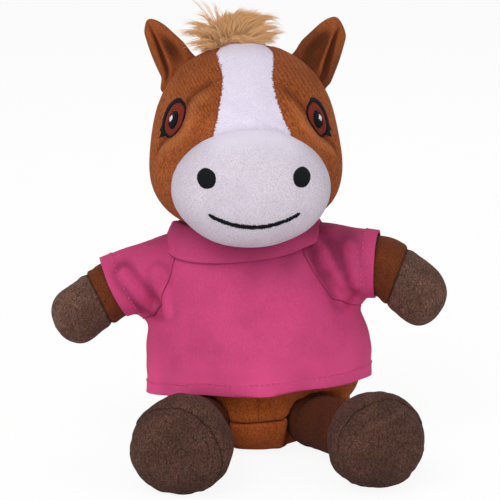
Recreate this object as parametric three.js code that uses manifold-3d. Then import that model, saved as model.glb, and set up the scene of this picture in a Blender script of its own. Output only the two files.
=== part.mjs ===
// Seated plush horse in a knitted shirt, in millimetres, +Z up. It faces -Y, so its own left side is +X.
// The origin is the middle of its flat seat, on the surface that it sits on.
import * as THREE from 'three';
import { mergeVertices } from 'three/addons/utils/BufferGeometryUtils.js';
import Module from 'manifold-3d';

const wasm = await Module();
wasm.setup();

// Fabrics, gaps and cuts
const clearance = 0.3;
const socketGap = 0.1;
const pileFabric = 2;
const shirtKnit = 1.2;
const threadRise = 0.9;
const pressedDepth = 0.5;
const surfaceStep = 0.001;
const overrun = 400;
const swingRoom = 0.8;
const swingSteps = 5;
const crumbShare = 0.01;

// Facets of the sewn outside, of what lies inside it, of the shirt and of the limbs
const outsideFacets = { rings: 11, sectors: 18 };
const insideFacets = { rings: 7, sectors: 12 };
const shirtFacets = { rings: 9, sectors: 20 };
const limbSectors = 12;
const rootSteps = 4;
const limbInsideSectors = 8;
const ballFacets = 10;
const neckFacets = 14;
const stitchCorners = 10;

// Torso: a wide seat, a round belly and a chest that leans to the toy's right
const torsoHeight = 108;
const bellyHalfWidth = 48.5;
const bellyHalfDepth = 42;
const bellyHalfHeight = 42;
const bellyForward = 2;
const seatHalfWidth = 44;
const seatHalfDepth = 42;
const seatHalfHeight = 11;
const chestHalfWidth = 40;
const chestHalfDepth = 35;
const chestHalfHeight = 34;
const chestForward = 3;
const leanSideways = 7;
const torsoBlend = 4;
const seatSeamHeight = 18;
const sideSeamBack = 6;
const pelletDepth = 11;

// Neck: a stuffed ball between torso and head
const neckRadius = 19;
const neckSkinHalfHeight = 8;
const neckRise = 3;

// Head, from the neck's middle
const craniumHalfWidth = 45;
const craniumHalfDepth = 39;
const craniumHalfHeight = 41.5;
const craniumForward = 5;
const crownHalfWidth = 36;
const crownHalfDepth = 32;
const crownHalfHeight = 26;
const headHeight = 87.5;
const cheekHalfWidth = 25;
const cheekHalfDepth = 25;
const cheekHalfHeight = 25;
const cheekApart = 22.5;
const cheekForward = 11;
const cheekGap = 3;
const muzzleHalfWidth = 37.5;
const muzzleHalfDepth = 23;
const muzzleHalfHeight = 28;
const muzzleForward = 46;
const chinDrop = 5;
const headBlend = 4;
const headOriginShare = 0.33;
const headTurnAtRest = 4.5;
const headBackSeam = 4;

// Muzzle and blaze seams
const muzzleSeamForward = 36;
const muzzleSeamSlope = 0.42;
const blazeTopHalfWidth = 14.5;
const blazeNarrowHalfWidth = 12.2;
const blazeFootHalfWidth = 19;
const blazeHeightShares = { top: 1, narrow: 0.86, flare: 0.7, foot: 0.56 };
const blazeBackSeam = 2;

// Embroidered face
const eyeAzimuth = 53;
const eyeHalfWidth = 7;
const eyeHalfHeight = 8.4;
const eyeBandWidth = 3;
const eyeHeightShare = 0.612;
const eyeTilt = 16;
const lashLength = 3;
const pupilHalfWidth = 3.6;
const pupilHalfHeight = 4.7;
const glintHalfWidth = 1.7;
const glintHalfHeight = 2;
const nostrilApart = 22.3;
const nostrilHalfWidth = 4.4;
const nostrilHalfHeight = 5;
const nostrilHeightShare = 0.355;
const smileHalfWidth = 21.5;
const smileSag = 6;
const smileThickness = 1.7;
const smileHeightShare = 0.16;
const smilePoints = 9;
const glintCorners = 4;

// Ears
const earBaseWidth = 24;
const earLength = 27;
const earTipWidth = 7;
const earThickness = 6.4;
const earScoop = 2.2;
const earShoulderShare = 0.7;
const earSwellShare = 1.35;
const earScoopShares = { aside: 0.15, width: 0.33, length: 0.5 };
const earCurveSegments = 4;
const earAzimuth = 43;
const earBack = 3;

// Hair
const forelockHalfWidth = 22;
const forelockHalfDepth = 12;
const forelockHalfHeight = 11;
const forelockSideways = 8;
const forelockSinkShare = 0.33;
const forelockPeakShares = { aside: 0.33, rise: 0.5, width: 0.5, depth: 0.8, height: 0.8 };
const hairBlend = 2;
const maneThickness = 8;
const maneWidth = 15;
const maneFootShare = 0.2;
const tailLength = 40;
const tailRadius = 7;
const tailRoot = 5;
const tailShape = [[0.25, 1], [0.6, 0.9], [0.9, 0.45]];
const tailDroop = 24;
const tailSwing = { down: -10, up: 60 };

// Arms
const armLength = 65;
const armBall = 12;
const armRadius = 11.6;
const handRadius = 14.6;
const handSeam = 39;
const wristShare = 0.8;
const handTipShares = [0.45, 0.8, 1];
const armDroop = { left: 20, right: 26 };
const armForward = 9;
const shoulderHeight = 91;
const shoulderTilt = 4.5;
const shoulderShare = 0.96;
const armSwing = { down: -12, up: 38 };

// Legs and feet
const legLength = 81;
const legBall = 13.5;
const legRadius = 13;
const legRise = 5.5;
const footRadius = 23;
const footSeam = 47;
const soleSeam = 69;
const legThighShare = 0.8;
const footFlareShare = 0.45;
const footRadiusShares = { wall: 0.97, edge: 0.9, pad: 0.62 };
const hipApartShare = 0.54;
const hipForwardShare = 0.62;
const legSplay = { left: 28, right: 10 };
const legSwing = { down: -40, up: 14 };

// Shirt
const shirtEaseTop = 1.5;
const shirtEaseFront = 6;
const shirtEaseSide = 10;
const yokeHalfWidth = 43;
const yokeHalfDepth = 36;
const yokeHalfHeight = 15;
const yokeDrop = 17;
const hemHeight = 28;
const hemSidewaysRise = 4.5;
const hemForwardRise = 6;
const hemFolds = 5;
const hemFoldDepth = 1.1;
const collarRadius = 38;
const collarDepthRadius = 34.5;
const collarTaper = 2.5;
const collarForwardTilt = 4;
const collarTop = 109;
const collarKnit = 2.2;
const collarReach = 15;
const sleeveReach = 29;
const sleeveRootRadius = 18.5;
const sleeveCuffRadius = 17;
const sleeveRootDrop = 5;
const raglanNeckInset = 6;
const raglanFoot = 64;

// Colours
const chestnut = '#a8602f';
const darkChestnut = '#7d4420';
const hoofBrown = '#55392f';
const whitePile = '#e4dcee';
const pinkKnit = '#cf4480';
const threadBlack = '#15181d';
const threadRust = '#84331f';
const threadWhite = '#f2f0f4';
const hairTan = '#c79a66';
const fillWhite = '#efece4';
const pelletGrey = '#c9c6bd';
const pileRoughness = 0.9;
const threadRoughness = 0.6;

const frontwards = new THREE.Vector3(0, -1, 0);
const upwards = new THREE.Vector3(0, 0, 1);
const leftwards = new THREE.Vector3(1, 0, 0);
const radians = THREE.MathUtils.degToRad;
const sides = { left: 1, right: -1 };

// A closed mesh of three.js as a solid that can be joined and cut
function solidOf(geometry) {
  const bare = geometry.clone();
  bare.deleteAttribute('normal');
  bare.deleteAttribute('uv');
  const merged = mergeVertices(bare);
  return new wasm.Manifold(new wasm.Mesh({
    numProp: 3,
    vertProperties: merged.attributes.position.array,
    triVerts: Uint32Array.from(merged.index.array),
  }));
}

function geometryOf(solid) {
  const mesh = solid.getMesh();
  const geometry = new THREE.BufferGeometry();
  geometry.setAttribute('position', new THREE.BufferAttribute(mesh.vertProperties, 3));
  geometry.setIndex(new THREE.BufferAttribute(mesh.triVerts, 1));
  geometry.computeVertexNormals();
  return geometry;
}

function meshOf(name, solid, colour, roughness = pileRoughness) {
  const material = new THREE.MeshStandardMaterial({ color: colour, roughness, metalness: 0 });
  const mesh = new THREE.Mesh(geometryOf(solid), material);
  mesh.name = name;
  return mesh;
}

// A solid seen from a group's own frame
function insideGroup(group, solid) {
  group.updateMatrixWorld(true);
  return solid.transform(group.matrixWorld.clone().invert().elements);
}

// Everything on the side of a plane that its normal points to
function halfSpace(point, normal) {
  const geometry = new THREE.BoxGeometry(overrun, overrun, overrun);
  geometry.translate(0, 0, overrun / 2);
  geometry.applyQuaternion(new THREE.Quaternion().setFromUnitVectors(upwards, normal.clone().normalize()));
  geometry.translate(point.x, point.y, point.z);
  return solidOf(geometry);
}

// A cut solid without the crumbs that a cut can leave along its edge
function withoutCrumbs(solid) {
  const least = solid.volume() * crumbShare;
  const bodies = solidOf(geometryOf(solid)).decompose().filter((body) => body.volume() > least);
  return bodies.reduce((joined, body) => joined.add(body));
}

// The two parts of a solid on either side of a seam, with the gap between them
function splitAt(solid, point, normal) {
  const away = normal.clone().normalize();
  const shift = away.clone().multiplyScalar(clearance / 2);
  const beyond = solid.intersect(halfSpace(point.clone().add(shift), away));
  const before = solid.intersect(halfSpace(point.clone().sub(shift), away.negate()));
  return [withoutCrumbs(beyond), withoutCrumbs(before)];
}

// A ball whose facets all lie outside the true sphere, as a socket needs
function ballCutter(radius, centre = new THREE.Vector3(), facets = ballFacets) {
  const reach = radius / Math.cos(Math.PI / facets) ** 2;
  const geometry = new THREE.SphereGeometry(reach, facets, facets / 2);
  geometry.translate(centre.x, centre.y, centre.z);
  return solidOf(geometry);
}

// A front-view outline run along Y, from the back value to the front of everything, then turned about Z
function frontPrism(outline, back, azimuth = 0) {
  const geometry = new THREE.ExtrudeGeometry(outline, { depth: overrun, bevelEnabled: false });
  geometry.rotateX(Math.PI / 2).translate(0, back, 0).rotateZ(azimuth);
  return solidOf(geometry);
}

// Ellipsoid lumps that run into each other, as a signed distance that is negative inside
function lumpField(lumps, blend) {
  return (point) => {
    let sum = 0;
    for (const { centre, radii } of lumps) {
      const scaled = point.clone().sub(centre).divide(radii);
      const reach = scaled.length();
      const slope = scaled.clone().divide(radii).length();
      const distance = slope === 0 ? -radii.x : (reach * (reach - 1)) / slope;
      sum += Math.exp(-distance / blend);
    }
    return -blend * Math.log(sum);
  };
}

// Where a ray from inside the field leaves its level
function surfacePoint(field, origin, direction, level = 0) {
  let inside = 0;
  let outside = overrun;
  while (outside - inside > surfaceStep) {
    const middle = (inside + outside) / 2;
    if (field(origin.clone().addScaledVector(direction, middle)) < level) inside = middle;
    else outside = middle;
  }
  return origin.clone().addScaledVector(direction, inside);
}

// A field's level as a closed mesh on rings and sectors round the origin's vertical
function formSolid(field, origin, facets, level = 0) {
  const points = [surfacePoint(field, origin, upwards.clone().negate(), level)];
  for (let ring = 1; ring < facets.rings; ring += 1) {
    const polar = Math.PI * (1 - ring / facets.rings);
    for (let sector = 0; sector < facets.sectors; sector += 1) {
      const azimuth = (2 * Math.PI * sector) / facets.sectors;
      const flat = Math.sin(polar);
      const ray = new THREE.Vector3(Math.cos(azimuth) * flat, Math.sin(azimuth) * flat, Math.cos(polar));
      points.push(surfacePoint(field, origin, ray, level));
    }
  }
  points.push(surfacePoint(field, origin, upwards, level));
  return ringSolid(points, facets.rings - 1, facets.sectors);
}

// Rings of points between two end points, joined into a closed mesh
function ringSolid(points, rings, sectors) {
  const faces = [];
  const at = (ring, sector) => 1 + ring * sectors + (sector % sectors);
  const last = points.length - 1;
  for (let sector = 0; sector < sectors; sector += 1) {
    faces.push(0, at(0, sector + 1), at(0, sector));
    faces.push(last, at(rings - 1, sector), at(rings - 1, sector + 1));
    for (let ring = 0; ring < rings - 1; ring += 1) {
      faces.push(at(ring, sector), at(ring, sector + 1), at(ring + 1, sector + 1));
      faces.push(at(ring, sector), at(ring + 1, sector + 1), at(ring + 1, sector));
    }
  }
  const geometry = new THREE.BufferGeometry();
  geometry.setAttribute('position', new THREE.Float32BufferAttribute(points.flatMap((p) => p.toArray()), 3));
  geometry.setIndex(faces);
  return solidOf(geometry);
}

// A limb's outline, as distances along it and radii, with a half ball at its root
function limbProfile(ball, stations) {
  const profile = [];
  for (let step = 0; step < rootSteps; step += 1) {
    const angle = (Math.PI / 2) * (step / rootSteps - 1);
    profile.push(new THREE.Vector2(ball * Math.sin(angle), step === 0 ? 0 : ball * Math.cos(angle)));
  }
  return profile.concat(stations.map(([along, radius]) => new THREE.Vector2(along, radius)));
}

// The same outline moved in by a thickness, along its own normals
function insetProfile(profile, inset) {
  const flip = (point) => new THREE.Vector2(point.x, -point.y);
  return profile.map((point, index) => {
    const next = profile[index + 1] ?? flip(profile[index - 1]);
    const previous = profile[index - 1] ?? flip(profile[index + 1]);
    const run = next.clone().sub(previous).normalize();
    return new THREE.Vector2(point.x + run.y * inset, point.y === 0 ? 0 : point.y - run.x * inset);
  });
}

// A limb's solid round its own Y axis
function limbSolid(profile, sectors) {
  const points = [new THREE.Vector3(0, profile[0].x, 0)];
  const rings = profile.slice(1, -1);
  for (const { x: along, y: radius } of rings) {
    for (let sector = 0; sector < sectors; sector += 1) {
      const azimuth = (-2 * Math.PI * sector) / sectors;
      points.push(new THREE.Vector3(radius * Math.cos(azimuth), along, radius * Math.sin(azimuth)));
    }
  }
  points.push(new THREE.Vector3(0, profile.at(-1).x, 0));
  return ringSolid(points, rings.length, sectors);
}

// A group at a limb's pivot, with its own Y along the limb and its own X as near to up as can be
function limbGroup(pivot, direction) {
  const group = new THREE.Group();
  const across = new THREE.Vector3().crossVectors(direction, upwards).normalize();
  const rise = new THREE.Vector3().crossVectors(across, direction).normalize();
  const third = new THREE.Vector3().crossVectors(rise, direction);
  group.position.copy(pivot);
  group.quaternion.setFromRotationMatrix(new THREE.Matrix4().makeBasis(rise, direction, third));
  group.updateMatrixWorld(true);
  return group;
}

// The turns of a swing about an axis through a pivot, from its lower end to its upper one
function swingTurns(pivot, axis, swing) {
  const turns = [];
  for (let step = 0; step <= swingSteps; step += 1) {
    const angle = radians(THREE.MathUtils.lerp(swing.down, swing.up, step / swingSteps));
    const turn = new THREE.Matrix4().makeTranslation(pivot.x, pivot.y, pivot.z);
    turn.multiply(new THREE.Matrix4().makeRotationAxis(axis, angle));
    turns.push(turn.multiply(new THREE.Matrix4().makeTranslation(-pivot.x, -pivot.y, -pivot.z)));
  }
  return turns;
}

// Cuts from a limb what the larger form would meet as the limb swings
function clearOfSwing(group, limb, larger, axis, swing) {
  return swingTurns(group.position, axis, swing).reduce(
    (rest, turn) => rest.subtract(insideGroup(group, larger.transform(turn.invert().elements))),
    limb,
  );
}

// Cuts from a panel what a limb would sweep through
function clearOfLimb(panel, group, limb, axis, swing) {
  const placed = limb.transform(group.matrixWorld.elements);
  return swingTurns(group.position, axis, swing).reduce(
    (rest, turn) => rest.subtract(placed.transform(turn.elements)),
    panel,
  );
}

// Torso field, resting on the surface at height zero
const seatCentre = new THREE.Vector3(0, 0, seatHalfHeight);
const bellyCentre = new THREE.Vector3(0, -bellyForward, bellyHalfHeight + torsoBlend);
const chestCentre = new THREE.Vector3(-leanSideways, -chestForward, torsoHeight - chestHalfHeight);
const rawTorso = lumpField([
  { centre: seatCentre, radii: new THREE.Vector3(seatHalfWidth, seatHalfDepth, seatHalfHeight) },
  { centre: bellyCentre, radii: new THREE.Vector3(bellyHalfWidth, bellyHalfDepth, bellyHalfHeight) },
  { centre: chestCentre, radii: new THREE.Vector3(chestHalfWidth, chestHalfDepth, chestHalfHeight) },
], torsoBlend);
const rawFoot = surfacePoint(rawTorso, bellyCentre, upwards.clone().negate()).z;
const torsoField = (point) => rawTorso(point.clone().setZ(point.z + rawFoot + pressedDepth));

const neckPivot = new THREE.Vector3(-leanSideways, 0, collarTop + neckRise);
const shoulderLean = (leanSideways * shoulderHeight) / torsoHeight;
const shoulderMiddle = new THREE.Vector3(-shoulderLean, -chestForward, shoulderHeight);
const shoulderReach = chestHalfWidth * shoulderShare;
const shoulders = {};
const hips = {};
for (const [side, sign] of Object.entries(sides)) {
  const tilt = radians(shoulderTilt);
  const out = new THREE.Vector3(sign * Math.cos(tilt), 0, sign * Math.sin(tilt));
  shoulders[side] = shoulderMiddle.clone().addScaledVector(out, shoulderReach);
  hips[side] = new THREE.Vector3(
    sign * bellyHalfWidth * hipApartShare,
    -bellyForward - bellyHalfDepth * hipForwardShare,
    footRadius * Math.cos(radians(legRise)) - soleSeam * Math.sin(radians(legRise)) - pressedDepth,
  );
}
const tailPivot = surfacePoint(
  torsoField,
  new THREE.Vector3(0, 0, seatSeamHeight),
  frontwards.clone().negate(),
);

const toy = new THREE.Group();

// Torso pieces: sewn panels round a stuffing core that sits on a bag of pellets
function torsoSockets(solid) {
  let result = solid.subtract(ballCutter(neckRadius + socketGap, neckPivot, neckFacets));
  for (const side of Object.keys(sides)) {
    result = result.subtract(ballCutter(armBall + clearance, shoulders[side]));
    result = result.subtract(ballCutter(legBall + clearance, hips[side]));
  }
  return result.subtract(ballCutter(tailRoot + clearance, tailPivot));
}

const torsoOutside = formSolid(torsoField, bellyCentre, outsideFacets)
  .intersect(halfSpace(new THREE.Vector3(), upwards));

// The torso as a swinging limb meets it, with a little room and with the limbs' own sockets open
function torsoForLimbs() {
  let result = formSolid(torsoField, bellyCentre, outsideFacets, swingRoom);
  for (const side of Object.keys(sides)) {
    result = result.subtract(ballCutter(armBall, shoulders[side]));
    result = result.subtract(ballCutter(legBall, hips[side]));
  }
  return result.subtract(ballCutter(tailRoot, tailPivot));
}

const torsoMet = torsoForLimbs();

function buildTorso(group) {
  const hollow = formSolid(torsoField, bellyCentre, outsideFacets, -pileFabric);
  const skin = torsoSockets(torsoOutside.subtract(hollow));
  const seatSeam = new THREE.Vector3(0, 0, seatSeamHeight);
  const [upper, seat] = splitAt(skin, seatSeam, upwards);
  const [back, front] = splitAt(upper, new THREE.Vector3(0, sideSeamBack, 0), frontwards.clone().negate());
  const [left, right] = splitAt(front, new THREE.Vector3(), leftwards);
  group.add(meshOf('body_front_left', left, chestnut));
  group.add(meshOf('body_front_right', right, chestnut));
  group.add(meshOf('body_back', back, chestnut));
  group.add(meshOf('body_seat', seat, chestnut));
  const core = torsoSockets(formSolid(torsoField, bellyCentre, outsideFacets, -pileFabric - clearance));
  const [stuffing, pellets] = splitAt(core, new THREE.Vector3(0, 0, pelletDepth), upwards);
  group.add(meshOf('body_stuffing', stuffing, fillWhite));
  group.add(meshOf('pellet_bag', pellets, pelletGrey));
}

// Neck: the ball of filling and the band of fabric round its waist
function buildNeck(group) {
  const ball = (radius) => (
    solidOf(new THREE.SphereGeometry(radius, neckFacets, neckFacets / 2).rotateX(Math.PI / 2))
  );
  const top = new THREE.Vector3(0, 0, neckSkinHalfHeight);
  const band = ball(neckRadius).subtract(ball(neckRadius - pileFabric))
    .intersect(halfSpace(top.clone().negate(), upwards))
    .intersect(halfSpace(top, upwards.clone().negate()));
  group.add(meshOf('neck_skin', band, chestnut));
  group.add(meshOf('neck_stuffing', ball(neckRadius - pileFabric - clearance), fillWhite));
}

// Head field, from the neck's middle
const chinHeight = collarTop - neckPivot.z + cheekGap;
const craniumCentre = new THREE.Vector3(0, -craniumForward, headHeight - craniumHalfHeight - headBlend);
const muzzleCentre = new THREE.Vector3(0, -muzzleForward, chinHeight - chinDrop + muzzleHalfHeight);
const headLumps = [
  { centre: craniumCentre, radii: new THREE.Vector3(craniumHalfWidth, craniumHalfDepth, craniumHalfHeight) },
  {
    centre: new THREE.Vector3(0, -craniumForward, headHeight - crownHalfHeight - headBlend),
    radii: new THREE.Vector3(crownHalfWidth, crownHalfDepth, crownHalfHeight),
  },
  { centre: muzzleCentre, radii: new THREE.Vector3(muzzleHalfWidth, muzzleHalfDepth, muzzleHalfHeight) },
];
for (const sign of Object.values(sides)) {
  headLumps.push({
    centre: new THREE.Vector3(sign * cheekApart, -cheekForward, chinHeight + cheekHalfHeight),
    radii: new THREE.Vector3(cheekHalfWidth, cheekHalfDepth, cheekHalfHeight),
  });
}
const headField = lumpField(headLumps, headBlend);
const headOrigin = craniumCentre.clone().lerp(muzzleCentre, headOriginShare);
const headAt = (level, facets = outsideFacets) => formSolid(headField, headOrigin, facets, level);

// Ear frames on the skull: own X along the seam, own Y out of the head, own Z to the back
const earGroups = {};
for (const [side, sign] of Object.entries(sides)) {
  const azimuth = radians(earAzimuth);
  const out = new THREE.Vector3(sign * Math.cos(azimuth), 0, Math.sin(azimuth));
  const middle = craniumCentre.clone().setY(earBack);
  const group = new THREE.Group();
  group.position.copy(surfacePoint(headField, middle, out));
  const along = new THREE.Vector3().crossVectors(out, frontwards.clone().negate());
  group.quaternion.setFromRotationMatrix(
    new THREE.Matrix4().makeBasis(along, out, frontwards.clone().negate()),
  );
  earGroups[side] = group;
}

function earGroove(side) {
  const { position, quaternion } = earGroups[side];
  const radius = (earThickness / 2 + clearance) / Math.cos(Math.PI / ballFacets);
  const geometry = new THREE.CylinderGeometry(radius, radius, earBaseWidth + 2 * clearance, ballFacets);
  geometry.rotateZ(Math.PI / 2).applyQuaternion(quaternion).translate(position.x, position.y, position.z);
  return solidOf(geometry);
}

function headSockets(solid) {
  return solid.subtract(ballCutter(neckRadius + socketGap, new THREE.Vector3(), neckFacets))
    .subtract(earGroove('left'))
    .subtract(earGroove('right'));
}

function blazeOutline() {
  const { top, narrow, flare, foot } = blazeHeightShares;
  const half = [
    new THREE.Vector2(blazeTopHalfWidth, headHeight * top + headBlend),
    new THREE.Vector2(blazeTopHalfWidth, headHeight * top),
    new THREE.Vector2(blazeNarrowHalfWidth, headHeight * narrow),
    new THREE.Vector2((blazeNarrowHalfWidth + blazeFootHalfWidth) / 2, headHeight * flare),
    new THREE.Vector2(blazeFootHalfWidth, headHeight * foot),
    new THREE.Vector2(blazeFootHalfWidth, muzzleCentre.z),
  ];
  const other = half.map(({ x, y }) => new THREE.Vector2(-x, y)).reverse();
  return new THREE.Shape(half.concat(other));
}

function wider(outline, gap) {
  return new THREE.Shape(outline.getPoints().map(({ x, y }) => new THREE.Vector2(x + Math.sign(x) * gap, y)));
}

function buildHeadPanels(group) {
  const skin = headSockets(headAt(0).subtract(headAt(-pileFabric)));
  const seam = new THREE.Vector3(0, -muzzleSeamForward, muzzleCentre.z);
  const [muzzle, rest] = splitAt(skin, seam, new THREE.Vector3(0, -1, -muzzleSeamSlope));
  const [back, face] = splitAt(rest, new THREE.Vector3(0, headBackSeam, 0), frontwards.clone().negate());
  const blaze = face.intersect(frontPrism(blazeOutline(), blazeBackSeam));
  const brown = face.subtract(frontPrism(wider(blazeOutline(), clearance), blazeBackSeam + clearance));
  const [left, right] = splitAt(brown, new THREE.Vector3(), leftwards);
  group.add(meshOf('head_side_left', left, chestnut));
  group.add(meshOf('head_side_right', right, chestnut));
  group.add(meshOf('head_back', back, chestnut));
  group.add(meshOf('blaze', blaze, whitePile));
  group.add(meshOf('muzzle', muzzle, whitePile));
  const stuffing = headSockets(headAt(-pileFabric - clearance));
  group.add(meshOf('head_stuffing', stuffing, fillWhite));
}

// Embroidery: a front-view outline raised from the pile
function ellipsePoints(halfWidth, halfHeight, count = stitchCorners) {
  return new THREE.EllipseCurve(0, 0, halfWidth, halfHeight).getPoints(count).slice(0, -1);
}

function placedShape(points, centre, tilt = 0) {
  const origin = new THREE.Vector2();
  return new THREE.Shape(points.map((point) => point.clone().rotateAround(origin, tilt).add(centre)));
}

function buildEye(group, thread, side, sign) {
  const azimuth = radians(sign * eyeAzimuth);
  const centre = new THREE.Vector2(0, headHeight * eyeHeightShare);
  const tilt = radians(sign * eyeTilt);
  const prism = (points) => frontPrism(placedShape(points, centre, tilt), 0, azimuth);
  const oval = (halfWidth, halfHeight) => prism(ellipsePoints(halfWidth, halfHeight));
  const diamond = (gap) => prism(ellipsePoints(glintHalfWidth + gap, glintHalfHeight + gap, glintCorners));
  const outer = eyeHalfWidth + eyeBandWidth;
  const band = ellipsePoints(outer, eyeHalfHeight + eyeBandWidth).map(({ x, y }) => (
    new THREE.Vector2(Math.sign(x) === sign ? x : (x * eyeHalfWidth) / outer, y)
  ));
  const lash = [
    new THREE.Vector2(0, -eyeHalfHeight),
    new THREE.Vector2(sign * outer, -eyeHalfHeight / 2),
    new THREE.Vector2(sign * outer, -eyeHalfHeight - lashLength),
  ];
  const opening = oval(eyeHalfWidth + clearance, eyeHalfHeight + clearance);
  const outline = prism(band).add(prism(lash)).subtract(opening);
  const iris = oval(eyeHalfWidth, eyeHalfHeight)
    .subtract(oval(pupilHalfWidth + clearance, pupilHalfHeight + clearance));
  const pupil = oval(pupilHalfWidth, pupilHalfHeight).subtract(diamond(clearance));
  group.add(meshOf(`eye_outline_${side}`, thread.intersect(outline), threadBlack, threadRoughness));
  group.add(meshOf(`iris_${side}`, thread.intersect(iris), threadRust, threadRoughness));
  group.add(meshOf(`pupil_${side}`, thread.intersect(pupil), threadBlack, threadRoughness));
  group.add(meshOf(`glint_${side}`, thread.intersect(diamond(0)), threadWhite, threadRoughness));
}

function buildFace(group) {
  const thread = headAt(clearance + threadRise).subtract(headAt(clearance));
  for (const [side, sign] of Object.entries(sides)) {
    buildEye(group, thread, side, sign);
    const centre = new THREE.Vector2(sign * nostrilApart, headHeight * nostrilHeightShare);
    const nostril = frontPrism(placedShape(ellipsePoints(nostrilHalfWidth, nostrilHalfHeight), centre), 0);
    group.add(meshOf(`nostril_${side}`, thread.intersect(nostril), threadBlack, threadRoughness));
  }
  const upper = [];
  const lower = [];
  for (let index = 0; index < smilePoints; index += 1) {
    const share = (2 * index) / (smilePoints - 1) - 1;
    const height = headHeight * smileHeightShare - smileSag * (1 - share ** 2);
    upper.push(new THREE.Vector2(share * smileHalfWidth, height + smileThickness / 2));
    lower.unshift(new THREE.Vector2(share * smileHalfWidth, height - smileThickness / 2));
  }
  const smile = frontPrism(new THREE.Shape(upper.concat(lower)), 0);
  group.add(meshOf('mouth_stitching', thread.intersect(smile), threadBlack, threadRoughness));
}

// Hair: a tuft between the ears and a mane down the back of the head
function buildHair(group) {
  const { aside, rise, width, depth, height } = forelockPeakShares;
  const headGrown = headAt(clearance);
  const crownHeight = headHeight + forelockHalfHeight * forelockSinkShare;
  const crown = new THREE.Vector3(-forelockSideways, -craniumForward, crownHeight);
  const radii = new THREE.Vector3(forelockHalfWidth, forelockHalfDepth, forelockHalfHeight);
  const peak = crown.clone().add(new THREE.Vector3(forelockHalfWidth * aside, 0, forelockHalfHeight * rise));
  const tuftField = lumpField([
    { centre: crown, radii },
    { centre: peak, radii: radii.clone().multiply(new THREE.Vector3(width, depth, height)) },
  ], hairBlend);
  const tuft = formSolid(tuftField, crown, insideFacets).subtract(headGrown);
  group.add(meshOf('forelock', tuft, hairTan));
  const maneHalf = maneWidth / 2;
  const foot = new THREE.Vector3(0, 0, headHeight * maneFootShare);
  const start = new THREE.Vector3(0, crown.y + forelockHalfDepth + headBlend, 0);
  const mane = headAt(clearance + maneThickness).subtract(headGrown)
    .intersect(halfSpace(foot, upwards))
    .intersect(halfSpace(start, frontwards.clone().negate()))
    .intersect(halfSpace(new THREE.Vector3(-maneHalf, 0, 0), leftwards))
    .intersect(halfSpace(new THREE.Vector3(maneHalf, 0, 0), leftwards.clone().negate()));
  group.add(meshOf('mane', mane, hairTan));
}

// Ear: two layers of fabric that taper to the edge, hollowed at the front
function earOutline(inward) {
  const inner = (inward * earBaseWidth) / 2;
  const tip = inner - inward * earTipWidth;
  const shape = new THREE.Shape();
  shape.moveTo(inner, 0);
  shape.lineTo(inner, earLength * earShoulderShare);
  shape.quadraticCurveTo(inner, earLength, tip, earLength);
  shape.lineTo(-inner, 0);
  return shape;
}

function buildEar(side, sign) {
  const group = earGroups[side];
  const slab = new THREE.ExtrudeGeometry(earOutline(sign), {
    depth: earThickness,
    bevelEnabled: false,
    curveSegments: earCurveSegments,
  });
  slab.translate(0, 0, -earThickness / 2);
  const ball = () => new THREE.SphereGeometry(1, ballFacets, ballFacets / 2).rotateX(Math.PI / 2);
  const swell = ball().scale(earBaseWidth, earLength * earSwellShare, earThickness / 2);
  const { aside, width, length } = earScoopShares;
  const scoop = ball().scale(earBaseWidth * width, earLength * length, earScoop);
  scoop.translate(sign * earBaseWidth * aside, earLength / 2, -earThickness / 2);
  const root = new THREE.CylinderGeometry(earThickness / 2, earThickness / 2, earBaseWidth, ballFacets);
  root.rotateZ(Math.PI / 2);
  const ear = solidOf(slab).intersect(solidOf(swell)).subtract(solidOf(scoop)).add(solidOf(root));
  const [back, front] = splitAt(ear, new THREE.Vector3(), upwards);
  group.add(meshOf(`ear_back_${side}`, back, chestnut));
  group.add(meshOf(`ear_front_${side}`, front, darkChestnut));
  return group;
}

// Arm: fabric and hoof round one core of filling
function armDirection(side, sign) {
  const droop = radians(armDroop[side]);
  const forward = radians(armForward);
  return new THREE.Vector3(
    sign * Math.cos(droop) * Math.cos(forward),
    -Math.sin(forward),
    -Math.sin(droop) * Math.cos(forward),
  ).normalize();
}

function armProfile() {
  const reach = armLength - handRadius;
  const profile = limbProfile(armBall, [
    [0, armBall],
    [armBall, armRadius],
    [handSeam * wristShare, armRadius],
    [handSeam, (armRadius + handRadius) / 2],
    [reach, handRadius],
  ]);
  for (const share of handTipShares) {
    const angle = (share * Math.PI) / 2;
    const radius = share === 1 ? 0 : handRadius * Math.cos(angle);
    profile.push(new THREE.Vector2(reach + handRadius * Math.sin(angle), radius));
  }
  return profile;
}

function buildArm(side, sign) {
  const group = limbGroup(shoulders[side], armDirection(side, sign));
  const axis = frontwards;
  const swing = { down: sign * armSwing.down, up: sign * armSwing.up };
  const profile = armProfile();
  const carve = (solid) => clearOfSwing(group, solid, torsoMet, axis, swing);
  const shell = carve(limbSolid(profile, limbSectors))
    .subtract(limbSolid(insetProfile(profile, pileFabric), limbInsideSectors));
  const [hoof, sleeve] = splitAt(shell, new THREE.Vector3(0, handSeam, 0), new THREE.Vector3(0, 1, 0));
  group.add(meshOf(`arm_${side}`, sleeve, darkChestnut));
  group.add(meshOf(`arm_hoof_${side}`, hoof, hoofBrown));
  const filling = carve(limbSolid(insetProfile(profile, pileFabric + clearance), limbInsideSectors));
  group.add(meshOf(`arm_stuffing_${side}`, filling, fillWhite));
  return group;
}

// Leg: fabric, hoof wall and sole round one core of filling
function legProfile() {
  const { wall, edge, pad } = footRadiusShares;
  return limbProfile(legBall, [
    [0, legBall],
    [legBall * legThighShare, legRadius],
    [footSeam - pileFabric, legRadius],
    [footSeam + pileFabric, THREE.MathUtils.lerp(legRadius, footRadius, footFlareShare)],
    [(footSeam + soleSeam) / 2, footRadius * wall],
    [soleSeam - pileFabric, footRadius],
    [soleSeam + pileFabric, footRadius * edge],
    [legLength - pileFabric, footRadius * pad],
    [legLength, 0],
  ]);
}

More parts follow.
